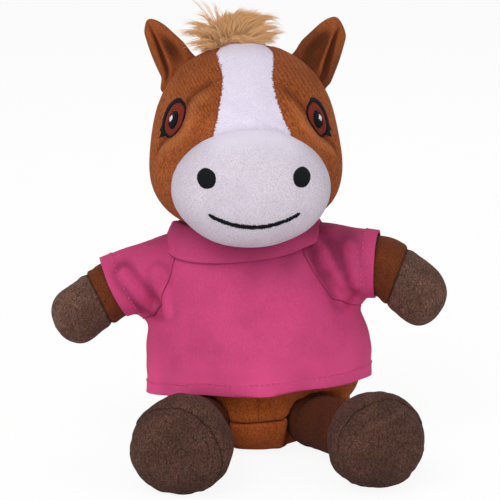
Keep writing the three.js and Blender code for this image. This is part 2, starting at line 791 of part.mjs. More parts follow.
function legGroup(side, sign) {
  const splay = radians(legSplay[side]);
  const direction = new THREE.Vector3(sign * Math.sin(splay), -Math.cos(splay), Math.tan(radians(legRise)));
  return limbGroup(hips[side], direction.normalize());
}

function buildLeg(side, sign) {
  const group = legGroup(side, sign);
  const profile = legProfile();
  const axis = leftwards.clone().negate();
  const carve = (solid) => clearOfSwing(group, solid, torsoMet, axis, legSwing);
  const ground = insideGroup(group, halfSpace(new THREE.Vector3(), upwards));
  const shell = carve(limbSolid(profile, limbSectors)).intersect(ground)
    .subtract(limbSolid(insetProfile(profile, pileFabric), limbInsideSectors));
  const along = new THREE.Vector3(0, 1, 0);
  const [foot, leg] = splitAt(shell, new THREE.Vector3(0, footSeam, 0), along);
  const [sole, wall] = splitAt(foot, new THREE.Vector3(0, soleSeam, 0), along);
  group.add(meshOf(`leg_${side}`, leg, darkChestnut));
  group.add(meshOf(`foot_wall_${side}`, wall, hoofBrown));
  group.add(meshOf(`foot_sole_${side}`, sole, hoofBrown));
  const filling = carve(limbSolid(insetProfile(profile, pileFabric + clearance), limbInsideSectors));
  group.add(meshOf(`leg_stuffing_${side}`, filling, fillWhite));
  return group;
}

// Tail: a hanging bundle of hair with its root sewn into the seat's seam
function tailGroup() {
  const droop = radians(tailDroop);
  return limbGroup(tailPivot, new THREE.Vector3(0, Math.cos(droop), -Math.sin(droop)));
}

function tailProfile() {
  const bundle = tailShape.map(([along, radius]) => [tailLength * along, tailRadius * radius]);
  return limbProfile(tailRoot, [[0, tailRoot], ...bundle, [tailLength, 0]]);
}

function buildTail() {
  const group = tailGroup();
  const profile = tailProfile();
  const bundle = clearOfSwing(group, limbSolid(profile, limbInsideSectors), torsoMet, leftwards, tailSwing);
  group.add(meshOf('tail', bundle, hairTan));
  return group;
}

// Shirt: the torso's form with ease, drooping sleeves and a standing neckband
function shirtEase(point) {
  const fall = THREE.MathUtils.clamp((shoulderHeight - point.z) / (shoulderHeight - hemHeight), 0, 1);
  const sideways = point.x ** 2 / (point.x ** 2 + point.y ** 2 + clearance);
  const full = THREE.MathUtils.lerp(shirtEaseFront, shirtEaseSide, sideways);
  const fold = hemFoldDepth * fall * Math.cos(hemFolds * Math.atan2(point.x, -point.y));
  return THREE.MathUtils.lerp(shirtEaseTop, full, Math.sqrt(fall)) + fold;
}

const yokeField = lumpField([{
  centre: new THREE.Vector3(shoulderMiddle.x, -chestForward, torsoHeight - yokeDrop),
  radii: new THREE.Vector3(yokeHalfWidth, yokeHalfDepth, yokeHalfHeight),
}], torsoBlend);
const shirtField = (point) => {
  const body = Math.exp(-(torsoField(point) - shirtEase(point)) / torsoBlend);
  return -torsoBlend * Math.log(body + Math.exp(-yokeField(point) / torsoBlend));
};

function sleeveSolid(side, sign, inset) {
  const group = limbGroup(shoulders[side], armDirection(side, sign));
  const past = inset > 0 ? sleeveReach : 0;
  const stations = [
    [-armBall, sleeveRootRadius, sleeveRootDrop],
    [0, sleeveRootRadius, sleeveRootDrop],
    [sleeveReach / 2, (sleeveRootRadius + sleeveCuffRadius) / 2, sleeveRootDrop / 2],
    [sleeveReach + past, sleeveCuffRadius, 0],
  ];
  const points = [new THREE.Vector3(-sleeveRootDrop, stations[0][0], 0)];
  for (const [along, radius, drop] of stations) {
    for (let sector = 0; sector < limbSectors; sector += 1) {
      const azimuth = (-2 * Math.PI * sector) / limbSectors;
      const reach = radius - inset;
      points.push(new THREE.Vector3(reach * Math.cos(azimuth) - drop, along, reach * Math.sin(azimuth)));
    }
  }
  points.push(new THREE.Vector3(0, sleeveReach + past, 0));
  return ringSolid(points, stations.length, limbSectors).transform(group.matrixWorld.elements);
}

// The neckband's cone, which runs on above its top edge by the given rise
function collarCone(inset, rise = 0) {
  const height = collarReach + rise;
  const slope = collarTaper / collarReach;
  const geometry = new THREE.CylinderGeometry(
    collarRadius - inset - slope * rise,
    collarRadius - inset + collarTaper,
    height,
    shirtFacets.sectors,
  );
  geometry.rotateX(Math.PI / 2).scale(1, collarDepthRadius / collarRadius, 1);
  geometry.translate(0, 0, height / 2 - collarReach);
  geometry.rotateY(-radians(shoulderTilt)).rotateX(radians(collarForwardTilt));
  geometry.translate(neckPivot.x, 0, collarTop);
  return solidOf(geometry);
}

// The plane of one raglan seam, from the neckband down to the armpit
function raglanPlane(sign) {
  const neckEnd = new THREE.Vector3(
    neckPivot.x + sign * (collarRadius - raglanNeckInset),
    0,
    collarTop - collarReach / 2,
  );
  const armpitRay = leftwards.clone().multiplyScalar(sign);
  const armpit = surfacePoint(shirtField, new THREE.Vector3(0, 0, raglanFoot), armpitRay);
  const run = armpit.sub(neckEnd);
  return [neckEnd, new THREE.Vector3(-sign * run.z, 0, sign * run.x)];
}

function buildShirt(group) {
  let outside = formSolid(shirtField, bellyCentre, shirtFacets);
  let inside = formSolid(shirtField, bellyCentre, shirtFacets, -shirtKnit);
  for (const [side, sign] of Object.entries(sides)) {
    outside = outside.add(sleeveSolid(side, sign, 0));
    inside = inside.add(sleeveSolid(side, sign, shirtKnit));
  }
  const slopes = [hemSidewaysRise, hemForwardRise].map((angle) => Math.tan(radians(angle)));
  const aboveHem = halfSpace(new THREE.Vector3(0, 0, hemHeight), new THREE.Vector3(-slopes[0], slopes[1], 1));
  const neckHole = collarCone(collarKnit, collarReach);
  let panels = outside.subtract(inside).intersect(aboveHem).subtract(neckHole);
  const leg = limbSolid(insetProfile(legProfile(), -clearance), limbSectors);
  const legRising = { down: 0, up: legSwing.up };
  for (const [side, sign] of Object.entries(sides)) {
    panels = clearOfLimb(panels, legGroup(side, sign), leg, leftwards.clone().negate(), legRising);
  }
  const tail = limbSolid(insetProfile(tailProfile(), -clearance), limbInsideSectors);
  panels = clearOfLimb(panels, tailGroup(), tail, leftwards, { down: 0, up: tailSwing.up });
  for (const [side, sign] of Object.entries(sides)) {
    const [sleeve, rest] = splitAt(panels, ...raglanPlane(sign));
    group.add(meshOf(`shirt_sleeve_${side}`, sleeve, pinkKnit));
    panels = rest;
  }
  const [back, front] = splitAt(panels, new THREE.Vector3(0, sideSeamBack, 0), frontwards.clone().negate());
  group.add(meshOf('shirt_front', front, pinkKnit));
  group.add(meshOf('shirt_back', back, pinkKnit));
  let grown = formSolid(shirtField, bellyCentre, shirtFacets, clearance);
  for (const [side, sign] of Object.entries(sides)) grown = grown.add(sleeveSolid(side, sign, -clearance));
  const collar = collarCone(0).subtract(collarCone(collarKnit, collarReach)).subtract(grown);
  group.add(meshOf('shirt_neckband', collar, pinkKnit));
}

buildTorso(toy);
buildShirt(toy);
for (const [side, sign] of Object.entries(sides)) {
  toy.add(buildArm(side, sign));
  toy.add(buildLeg(side, sign));
}
toy.add(buildTail());

const neck = new THREE.Group();
neck.position.copy(neckPivot);
buildNeck(neck);
toy.add(neck);

const head = new THREE.Group();
head.position.copy(neckPivot);
head.rotation.z = radians(headTurnAtRest);
buildHeadPanels(head);
buildFace(head);
buildHair(head);
for (const [side, sign] of Object.entries(sides)) head.add(buildEar(side, sign));
toy.add(head);

export default toy;
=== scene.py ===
"""A seated plush horse in a knitted shirt, sewn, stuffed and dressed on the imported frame.

Sizes are in millimetres and angles in degrees; meshes are made in metres, in the frame of the CAD nodes.
"""
from collections.abc import Callable, Sequence
from dataclasses import dataclass, field
from enum import Enum
import logging
import math

import bpy
from mathutils import Matrix, Vector
from mathutils.bvhtree import BVHTree
import numpy as np


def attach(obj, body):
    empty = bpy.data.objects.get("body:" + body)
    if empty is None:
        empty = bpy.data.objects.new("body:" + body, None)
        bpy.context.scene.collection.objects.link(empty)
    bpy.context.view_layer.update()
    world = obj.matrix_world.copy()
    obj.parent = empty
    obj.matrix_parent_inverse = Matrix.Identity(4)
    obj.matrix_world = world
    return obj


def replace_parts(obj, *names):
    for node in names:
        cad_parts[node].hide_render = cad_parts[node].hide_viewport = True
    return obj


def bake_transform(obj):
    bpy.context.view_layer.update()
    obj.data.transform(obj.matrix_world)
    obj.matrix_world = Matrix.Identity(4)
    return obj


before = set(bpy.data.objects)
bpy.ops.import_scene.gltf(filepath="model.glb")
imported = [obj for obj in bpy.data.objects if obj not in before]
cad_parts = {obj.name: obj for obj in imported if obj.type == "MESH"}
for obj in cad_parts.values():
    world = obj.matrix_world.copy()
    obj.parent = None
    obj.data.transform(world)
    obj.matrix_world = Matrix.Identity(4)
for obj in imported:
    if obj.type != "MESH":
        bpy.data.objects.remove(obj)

Array = np.ndarray
Field = Callable[[Array], Array]
Colour = tuple[float, float, float]
Faces = Sequence[Sequence[int]]
Sockets = Sequence[tuple[Sequence[float], float]]
Piece = bpy.types.Object
MM = 0.001
TURN = 2 * math.pi
log = logging.getLogger("plush")


class Side(Enum):
    """The toy's own left, which is +X, and its right."""

    LEFT = 1
    RIGHT = -1

    @property
    def word(self) -> str:
        """The side's name, as the nodes and bodies have it."""
        return self.name.lower()


def both(left: object, right: object) -> dict[Side, object]:
    """A dataclass field that has a value for each side."""
    return field(default_factory=lambda: {Side.LEFT: left, Side.RIGHT: right})


# Shapes


def length_of(vectors: Array) -> Array:
    """The length of each vector in the last axis."""
    return np.sqrt((vectors**2).sum(axis=-1))


def unit(vectors: Array) -> Array:
    """Each vector at length one."""
    return vectors / np.maximum(length_of(vectors), 1e-12)[..., None]


def as_array(values: Sequence) -> Array:
    """Numbers as an array of floats."""
    return np.array(values, dtype=float)


def bell(values: Array, middle: float, width: float) -> Array:
    """One at a middle, falling to nothing on both sides."""
    return np.exp(-(((values - middle) / width) ** 2))


def fading(values: Array, width: float) -> Array:
    """One at zero, fading on both sides."""
    return np.exp(-np.abs(values) / width)


def step(low: float, high: float, values: Array) -> Array:
    """A smooth rise from 0 at low to 1 at high."""
    share = np.clip((values - low) / (high - low), 0, 1)
    return share * share * (3 - 2 * share)


def ripple(points: Array, wavelength: float, seed: int, waves: int = 7) -> Array:
    """Soft lumps that never repeat in line.

    Args:
        points: Places, in millimetres.
        wavelength: About the distance between two lumps.
        seed: The lumps' own number.
        waves: How many plane waves are summed.

    Returns:
        One height a point, mostly from -1 to 1.
    """
    random = np.random.default_rng(seed)
    ways = unit(random.normal(size=(waves, 3))) / (wavelength * random.uniform(0.7, 1.4, (waves, 1)))
    phases = random.uniform(0, TURN, waves)
    return np.sin(points @ ways.T * TURN + phases).sum(axis=1) * 1.4 / waves


@dataclass(frozen=True)
class Lumps:
    """Ellipsoids of filling that run into each other."""

    centres: tuple[tuple[float, float, float], ...]
    radii: tuple[tuple[float, float, float], ...]
    blend: float

    def distance(self, points: Array) -> Array:
        """The signed distance from the lumps' skin.

        Args:
            points: Places, in millimetres.

        Returns:
            One distance a point, negative inside.
        """
        total = None
        for centre, radii in zip(self.centres, self.radii):
            scaled = (points - np.array(centre)) / np.array(radii)
            reach = length_of(scaled)
            slope = np.maximum(length_of(scaled / np.array(radii)), 1e-9)
            share = -reach * (reach - 1) / slope / self.blend
            total = share if total is None else np.logaddexp(total, share)
        return -self.blend * total


def reach_of(distance: Field, origins: Array, ways: Array, level: float = 0.0, far: float = 400.0) -> Array:
    """How far rays from inside a form go before they leave it.

    Args:
        distance: The form's signed distance.
        origins: Where the rays start, inside.
        ways: Their directions.
        level: The distance at which a ray has left.
        far: A length that is certainly outside.

    Returns:
        One length a ray.
    """
    inside, outside = np.zeros(len(ways)), np.full(len(ways), far)
    for _ in range(26):
        middle = (inside + outside) / 2
        within = distance(origins + ways * middle[:, None]) < level
        inside, outside = np.where(within, middle, inside), np.where(within, outside, middle)
    return inside


def strip_faces(rows: int, count: int, closed: bool = True) -> list[tuple[int, ...]]:
    """Quads between rows of points.

    Args:
        rows: How many rows there are.
        count: How many points a row has.
        closed: Whether a row's end meets its start.

    Returns:
        The faces, row by row.
    """
    return [(a + i, a + count + i, a + count + (i + 1) % count, a + (i + 1) % count)
            for a in range(0, (rows - 1) * count, count) for i in range(count if closed else count - 1)]


def ring_faces(rings: int, sectors: int) -> list[tuple[int, ...]]:
    """Faces that join a first pole, rings of points and a last pole.

    Args:
        rings: How many rings lie between the poles.
        sectors: How many points a ring has.

    Returns:
        Outward faces, quads between the rings and triangles at the poles.
    """
    def at(ring: int, sector: int) -> int:
        """The number of a ring's point."""
        return 1 + ring * sectors + sector % sectors

    last = 1 + rings * sectors
    faces: list[tuple[int, ...]] = []
    for s in range(sectors):
        faces.append((0, at(0, s + 1), at(0, s)))
        faces.append((last, at(rings - 1, s), at(rings - 1, s + 1)))
        faces += [(at(r, s), at(r, s + 1), at(r + 1, s + 1), at(r + 1, s)) for r in range(rings - 1)]
    return faces


def globe(rings: int, sectors: int) -> Array:
    """Directions from straight down to straight up, for ring_faces.

    Args:
        rings: How many rings lie between the poles.
        sectors: How many directions a ring has.

    Returns:
        The directions, pole first and last.
    """
    polar = math.pi * (1 - np.arange(1, rings + 1) / (rings + 1))
    azimuth = TURN * np.arange(sectors) / sectors
    flat, tall = np.sin(polar)[:, None], np.cos(polar)[:, None]
    around = np.stack([flat * np.cos(azimuth), flat * np.sin(azimuth), tall + 0 * azimuth], axis=-1)
    return np.concatenate([[[0, 0, -1]], around.reshape(-1, 3), [[0, 0, 1]]])


def tube(runs: Array, radii: Array, sectors: int, ends: Sequence[float]) -> Array:
    """The points of a closed tube along Y, for ring_faces.

    Args:
        runs: Each ring's place along it.
        radii: Each ring's radius.
        sectors: How many points a ring has.
        ends: The places of its two poles.

    Returns:
        The points, pole first and last.
    """
    azimuth = -TURN * np.arange(sectors) / sectors
    radius, run = radii[:, None], runs[:, None]
    around = np.stack([radius * np.cos(azimuth), run + 0 * azimuth, radius * np.sin(azimuth)], axis=-1)
    return np.concatenate([[[0, ends[0], 0]], around.reshape(-1, 3), [[0, ends[1], 0]]])


def smooth_line(controls: Array, count: int) -> Array:
    """A smooth line through some points, with its points evenly spaced.

    Args:
        controls: The points that the line passes.
        count: How many points it gets.

    Returns:
        The line's points.
    """
    ends = np.concatenate([[2 * controls[0] - controls[1]], controls, [2 * controls[-1] - controls[-2]]])
    fine = []
    for a, b, c, d in zip(ends, ends[1:], ends[2:], ends[3:]):
        t = np.linspace(0, 1, 24, endpoint=False)[:, None]
        fine.append(0.5 * (2 * b + (c - a) * t + (2 * a - 5 * b + 4 * c - d) * t**2
                           + (3 * b - 3 * c + d - a) * t**3))
    line = np.concatenate([*fine, controls[-1:]])
    run = np.concatenate([[0], np.cumsum(length_of(np.diff(line, axis=0)))])
    even = np.linspace(0, run[-1], count)
    return np.stack([np.interp(even, run, line[:, axis]) for axis in range(line.shape[1])], axis=1)


def line_distance(points: Array, line: Array) -> Array:
    """The distance from each point to a line of straight runs.

    Args:
        points: Places.
        line: The ends of the runs, in order.

    Returns:
        One distance a point.
    """
    least = np.full(len(points), np.inf)
    for start, end in zip(line, line[1:]):
        run = end - start
        share = np.clip((points - start) @ run / (run @ run), 0, 1)
        least = np.minimum(least, length_of(points - start - share[:, None] * run))
    return least


@dataclass(frozen=True)
class Placing:
    """A turn and a move from a sub-assembly's own frame to the toy's."""

    origin: tuple[float, float, float]
    turn: tuple[tuple[float, float, float], ...]

    def out(self, points: Array) -> Array:
        """Own places as the toy's places."""
        return points @ np.array(self.turn).T + np.array(self.origin)

    def back(self, points: Array) -> Array:
        """The toy's places as own places."""
        return (points - np.array(self.origin)) @ np.array(self.turn)

    @staticmethod
    def along(origin: Sequence[float], way: Sequence[float]) -> "Placing":
        """A limb's frame, with Y along it and X as near to up as can be.

        Args:
            origin: Where it starts.
            way: Where it points.

        Returns:
            The frame.
        """
        forward = unit(as_array(way))
        across = unit(np.cross(forward, (0, 0, 1)))
        rise = unit(np.cross(across, forward))
        columns = np.stack([rise, forward, np.cross(rise, forward)], axis=1)
        return Placing(tuple(origin), tuple(map(tuple, columns)))


# Fabric as meshes


@dataclass
class Sewn:
    """Fabric as points and triangles, with each point's outward way and its distances from the seams."""

    points: Array
    faces: Array
    ways: Array
    marks: dict[str, Array]

    def split(self, values: Array) -> tuple["Sewn", "Sewn"]:
        """Cuts the fabric where values at its points pass zero.

        Args:
            values: One number a point.

        Returns:
            The fabric where the values are above zero, and the rest.
        """
        values = np.where(np.abs(values) < 0.04, 0.0, values)
        signs = np.sign(values)[self.faces]
        mixed = (signs.max(axis=1) > 0) & (signs.min(axis=1) < 0)
        above = (signs.max(axis=1) > 0) & ~mixed
        sides: tuple[list, list] = (list(self.faces[above]), list(self.faces[~above & ~mixed]))
        ends: list[tuple[int, int, float]] = []
        known: dict[tuple[int, int], int] = {}

        def crossing(a: int, b: int) -> int:
            """The new point between two old ones.

            Args:
                a: One of them.
                b: The other.

            Returns:
                Its number.
            """
            key = (min(a, b), max(a, b))
            if key not in known:
                known[key] = len(self.points) + len(ends)
                ends.append((*key, values[key[0]] / (values[key[0]] - values[key[1]])))
            return known[key]

        for face in self.faces[mixed]:
            for turn in range(3):
                a, b, c = (int(face[(turn + i) % 3]) for i in range(3))
                if values[b] == 0:
                    continue
                if values[a] == 0 and values[b] * values[c] < 0:
                    m = crossing(b, c)
                    sides[int(values[b] < 0)].append((a, b, m))
                    sides[int(values[c] < 0)].append((a, m, c))
                    break
                if values[a] * values[b] < 0 and values[a] * values[c] < 0:
                    m, n = crossing(a, b), crossing(a, c)
                    sides[int(values[a] < 0)].append((a, m, n))
                    sides[int(values[b] < 0)].extend([(m, b, c), (m, c, n)])
                    break
        if ends:
            first, second = (np.array([e[i] for e in ends], dtype=int) for i in range(2))
            share = np.array([e[2] for e in ends])

            def longer(old: Array) -> Array:
                """Values at the points with those of the new points behind them."""
                part = share[:, None] if old.ndim == 2 else share
                return np.concatenate([old, old[first] * (1 - part) + old[second] * part])

            whole = Sewn(longer(self.points), self.faces, unit(longer(self.ways)),
                         {name: longer(mark) for name, mark in self.marks.items()})
        else:
            whole = self
        return whole.only(sides[0]), whole.only(sides[1])

    def only(self, faces: Faces) -> "Sewn":
        """The fabric of some faces alone.

        Args:
            faces: Those faces.

        Returns:
            Their fabric, with its points renumbered.
        """
        chosen = np.array(faces, dtype=int).reshape(-1, 3)
        kept, renumbered = np.unique(chosen, return_inverse=True)
        return Sewn(self.points[kept], renumbered.reshape(-1, 3), self.ways[kept],
                    {name: mark[kept] for name, mark in self.marks.items()})

    def raised(self, heights: Array) -> "Sewn":
        """The fabric moved along its own outward ways."""
        return Sewn(self.points + self.ways * heights[:, None], self.faces, self.ways, self.marks)

    def crossings(self, name: str, level: float) -> tuple[Array, Array]:
        """Where a mark passes a level.

        Args:
            name: The mark.
            level: Its value there.

        Returns:
            The places, and the outward way at each.
        """
        values = self.marks[name] - level
        pairs = np.sort(np.concatenate([self.faces[:, [0, 1]], self.faces[:, [1, 2]], self.faces[:, [2, 0]]]))
        pairs = np.unique(pairs, axis=0)
        first, second = values[pairs].T
        a, b = pairs[(first * second < 0) & (np.abs(first - second) < 8)].T
        share = (values[a] / (values[a] - values[b]))[:, None]
        return (self.points[a] * (1 - share) + self.points[b] * share,
                unit(self.ways[a] * (1 - share) + self.ways[b] * share))


def triangles_of(faces: Faces) -> Array:
    """Faces of three or four corners as triangles."""
    return np.array([(f[0], f[i], f[i + 1]) for f in faces for i in range(1, len(f) - 1)], dtype=int)


def outward(points: Array, faces: Array) -> Array:
    """The way out of the fabric at each point.

    Args:
        points: The fabric's points.
        faces: Its triangles.

    Returns:
        One way a point.
    """
    corners = points[faces]
    across = np.cross(corners[:, 1] - corners[:, 0], corners[:, 2] - corners[:, 0])
    ways = np.zeros_like(points)
    for corner in range(3):
        np.add.at(ways, faces[:, corner], across)
    return unit(ways)


def new_piece(name: str, points: Array, faces: Faces, marks: dict[str, Array] | None = None) -> Piece:
    """A mesh object at the origin.

    Args:
        name: Its name.
        points: Its places, in millimetres.
        faces: Its faces.
        marks: Values at the points, which its material can read.

    Returns:
        The object, smooth shaded.
    """
    mesh = bpy.data.meshes.new(name)
    mesh.from_pydata((points * MM).tolist(), [], [tuple(map(int, face)) for face in faces])
    mesh.polygons.foreach_set("use_smooth", np.ones(len(mesh.polygons), dtype=bool))
    for mark, values in (marks or {}).items():
        layer = mesh.attributes.new(mark, "FLOAT", "POINT")
        layer.data.foreach_set("value", np.asarray(values, dtype=np.float32))
    mesh.update()
    piece = bpy.data.objects.new(name, mesh)
    bpy.context.scene.collection.objects.link(piece)
    return piece


def places_of(piece: Piece) -> Array:
    """A mesh object's places.

    Args:
        piece: The object.

    Returns:
        The places, in millimetres.
    """
    flat = np.empty(3 * len(piece.data.vertices), dtype=np.float32)
    piece.data.vertices.foreach_get("co", flat)
    return flat.reshape(-1, 3).astype(float) / MM


def taken(piece: Piece) -> tuple[Array, Array]:
    """A mesh object's places and triangles, once it is no longer needed.

    Args:
        piece: The object, whose mesh is removed.

    Returns:
        The places, in millimetres, and the triangles.
    """
    points = places_of(piece)
    faces = triangles_of([tuple(p.vertices) for p in piece.data.polygons])
    bpy.data.meshes.remove(piece.data)
    return points, faces


def choose(*pieces: Piece) -> None:
    """Makes some pieces the only ones that operators act on, the first one above all."""
    bpy.ops.object.select_all(action="DESELECT")
    for piece in pieces:
        piece.select_set(True)
    bpy.context.view_layer.objects.active = pieces[0]


def turned_outwards(piece: Piece, merged: float = 0.0) -> Piece:
    """Points a piece's faces outwards.

    Args:
        piece: The piece.
        merged: How near points may be that are made one first.

    Returns:
        The piece.
    """
    choose(piece)
    bpy.ops.object.mode_set(mode="EDIT")
    bpy.ops.mesh.select_all(action="SELECT")
    if merged:
        bpy.ops.mesh.remove_doubles(threshold=merged * MM)
    bpy.ops.mesh.normals_make_consistent(inside=False)
    bpy.ops.object.mode_set(mode="OBJECT")
    return piece


def with_modifier(piece: Piece, kind: str, **settings: object) -> Piece:
    """Adds a modifier to a piece and applies it.

    Args:
        piece: The piece.
        kind: The modifier's type.
        **settings: Its settings.

    Returns:
        The piece.
    """
    choose(piece)
    modifier = piece.modifiers.new(kind.lower(), kind)
    for setting, value in settings.items():
        setattr(modifier, setting, value)
    bpy.ops.object.modifier_apply(modifier=modifier.name)
    return piece


@dataclass(frozen=True)
class Filling:
    """How hard a closed form is stuffed, which Blender's cloth works out."""

    pressure: float = 2.5
    spare: float = 0.03
    most: float = 1.5
    frames: int = 14
    enlarged: float = 8.0

    def swell(self, name: str, points: Array, faces: Faces, held: Array) -> Array:
        """Blows a sewn form up against its seams.

        Args:
            name: The form's name.
            points: Its places before it is stuffed.
            faces: Its faces.
            held: Which points the seams hold.

        Returns:
            The places once it is stuffed, none moved further than the most.
        """
        form = new_piece(f"{name}_filled", points * self.enlarged, faces)
        seams = form.vertex_groups.new(name="seams")
        seams.add([int(i) for i in np.flatnonzero(held)], 1.0, "REPLACE")
        cloth = form.modifiers.new("filling", "CLOTH")
        settings = {"quality": 5, "mass": 0.25, "tension_stiffness": 12, "compression_stiffness": 12,
                    "bending_stiffness": 0.8, "use_pressure": True, "uniform_pressure_force": self.pressure,
                    "vertex_group_mass": seams.name, "shrink_min": -self.spare}
        for setting, value in settings.items():
            setattr(cloth.settings, setting, value)
        cloth.settings.effector_weights.gravity = 0
        cloth.point_cache.frame_end = self.frames
        for number in range(1, self.frames + 1):
            bpy.context.scene.frame_set(number)
        seen = form.evaluated_get(bpy.context.evaluated_depsgraph_get())
        moved = places_of(seen) / self.enlarged - points
        bpy.context.scene.frame_set(1)
        bpy.data.meshes.remove(form.data)
        far = length_of(moved)
        return points + moved * (np.minimum(far, self.most) / np.maximum(far, 1e-9))[:, None]


@dataclass(frozen=True)
class Form:
    """A closed form of a few thousand quads before its seams are cut."""

    name: str
    points: Array
    faces: list[tuple[int, ...]]
    marks: dict[str, Array]
    held: Array
    filling: Filling = field(default_factory=Filling)
    levels: int = 2

    def sewn(self) -> Sewn:
        """The stuffed form as fine fabric.

        Returns:
            Its triangles, with the marks carried over.
        """
        stuffed = self.filling.swell(self.name, self.points, self.faces, self.held)
        piece = new_piece(self.name, stuffed, self.faces, self.marks)
        with_modifier(piece, "SUBSURF", levels=self.levels, render_levels=self.levels)
        marks = {}
        for name in self.marks:
            values = np.empty(len(piece.data.vertices), dtype=np.float32)
            piece.data.attributes[name].data.foreach_get("value", values)
            marks[name] = values.astype(float)
        points, faces = taken(piece)
        return Sewn(points, faces, outward(points, faces), marks)


def socket_reach(reach: Array, ways: Array, origin: Array, centre: Sequence[float], radius: float,
                 soft: float = 1.2) -> Array:
    """Pulls a form in where a ball sits in it.

    Args:
        reach: How far the form goes along each way.
        ways: The ways from the form's middle.
        origin: The form's middle.
        centre: The ball's middle.
        radius: The ball's radius.
        soft: Over how much the fabric folds in.

    Returns:
        The new reach.
    """
    towards = np.array(centre) - origin
    along = ways @ towards
    miss = np.sqrt(np.maximum(towards @ towards - along**2, 0))
    entry = along - np.sqrt(np.maximum(radius**2 - miss**2, 0))
    share = (1 - step(radius - soft / 2, radius + soft, miss)) * (along > 0)
    return np.where(entry < reach, reach - (reach - entry) * share, reach)


def from_middle(distance: Field, middle: Sequence[float], ways: Array, sockets: Sockets = ()) -> Array:
    """The points of a closed form along ways from its middle.

    Args:
        distance: The form's signed distance.
        middle: Its middle.
        ways: The directions.
        sockets: The middle and radius of each ball that sits in it.

    Returns:
        The points.
    """
    origin = as_array(middle)
    reach = reach_of(distance, np.broadcast_to(origin, ways.shape), ways)
    for centre, radius in sockets:
        reach = socket_reach(reach, ways, origin, centre, radius)
    return origin + ways * reach[:, None]


def at_sockets(points: Array, sockets: Sockets, margin: float) -> Array:
    """Whether each point lies within a margin of a socket."""
    near = [length_of(points - as_array(centre)) < radius + margin for centre, radius in sockets]
    return np.any(near, axis=0)


def panel(name: str, fabric: Sewn, seam: Array, thickness: float = 1.6) -> Piece:
    """One panel of fabric with its thickness.

    Args:
        name: The piece's name.
        fabric: Its outside.
        seam: Each point's distance from its nearest seam.
        thickness: How thick the fabric is.

    Returns:
        The piece.
    """
    piece = new_piece(name, fabric.points, fabric.faces, {**fabric.marks, "seam": seam})
    return with_modifier(piece, "SOLIDIFY", thickness=thickness * MM, offset=-1, use_even_offset=False)


def given(piece: Piece, body: str, nodes: Sequence[str]) -> None:
    """Lets a piece ride on a body in place of its CAD nodes.

    Args:
        piece: The piece.
        body: The body that carries it.
        nodes: The nodes that it replaces.
    """
    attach(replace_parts(piece, *nodes), body)
    log.info("%s: %s", body, piece.name)


# Finishes


class Shade:
    """A node's output as a value that takes part in sums."""

    def __init__(self, tree: bpy.types.NodeTree, socket: bpy.types.NodeSocket) -> None:
        """Keeps the output with its tree."""
        self.tree, self.socket = tree, socket

    def _math(self, operation: str, *values: "Shade | float") -> "Shade":
        """A Math node.

        Args:
            operation: What it works out.
            *values: The values that it works on.

        Returns:
            Its result.
        """
        node = self.tree.nodes.new("ShaderNodeMath")
        node.operation = operation
        for entry, value in zip(node.inputs, values):
            if isinstance(value, Shade):
                self.tree.links.new(value.socket, entry)
            else:
                entry.default_value = value
        return Shade(self.tree, node.outputs[0])

    def __add__(self, other: "Shade | float") -> "Shade":
        """The sum."""
        return self._math("ADD", self, other)

    def __sub__(self, other: "Shade | float") -> "Shade":
        """The difference."""
        return self._math("SUBTRACT", self, other)

    def __rsub__(self, other: float) -> "Shade":
        """The difference, the other way round."""
        return self._math("SUBTRACT", other, self)

    def __mul__(self, other: "Shade | float") -> "Shade":
        """The product."""
        return self._math("MULTIPLY", self, other)

    def waves(self, length: float, shift: "Shade | float" = 0.0) -> "Shade":
        """Waves of a length over this value, from 0 to 1, moved by a shift."""
        return self._math("SINE", self * (TURN / length) + shift) * 0.5 + 0.5

    __radd__ = __add__
    __rmul__ = __mul__


class Nodes:
    """A node tree that is written down node by node."""

    def __init__(self, tree: bpy.types.NodeTree) -> None:
        """Keeps the tree."""
        self.tree = tree

    def node(self, kind: str, settings: dict[str, object] | None = None,
             entries: dict[str | int, object] | None = None, output: str | int = 0) -> Shade:
        """Adds a node.

        Args:
            kind: Its type, without the common first part.
            settings: Its properties, set first.
            entries: Values or links for its sockets.
            output: Which output is wanted.

        Returns:
            That output.
        """
        node = self.tree.nodes.new(f"ShaderNode{kind}")
        for name, value in (settings or {}).items():
            setattr(node, name, value)
        for name, value in (entries or {}).items():
            if isinstance(value, Shade):
                self.tree.links.new(value.socket, node.inputs[name])
            else:
                node.inputs[name].default_value = value
        return Shade(self.tree, node.outputs[output])


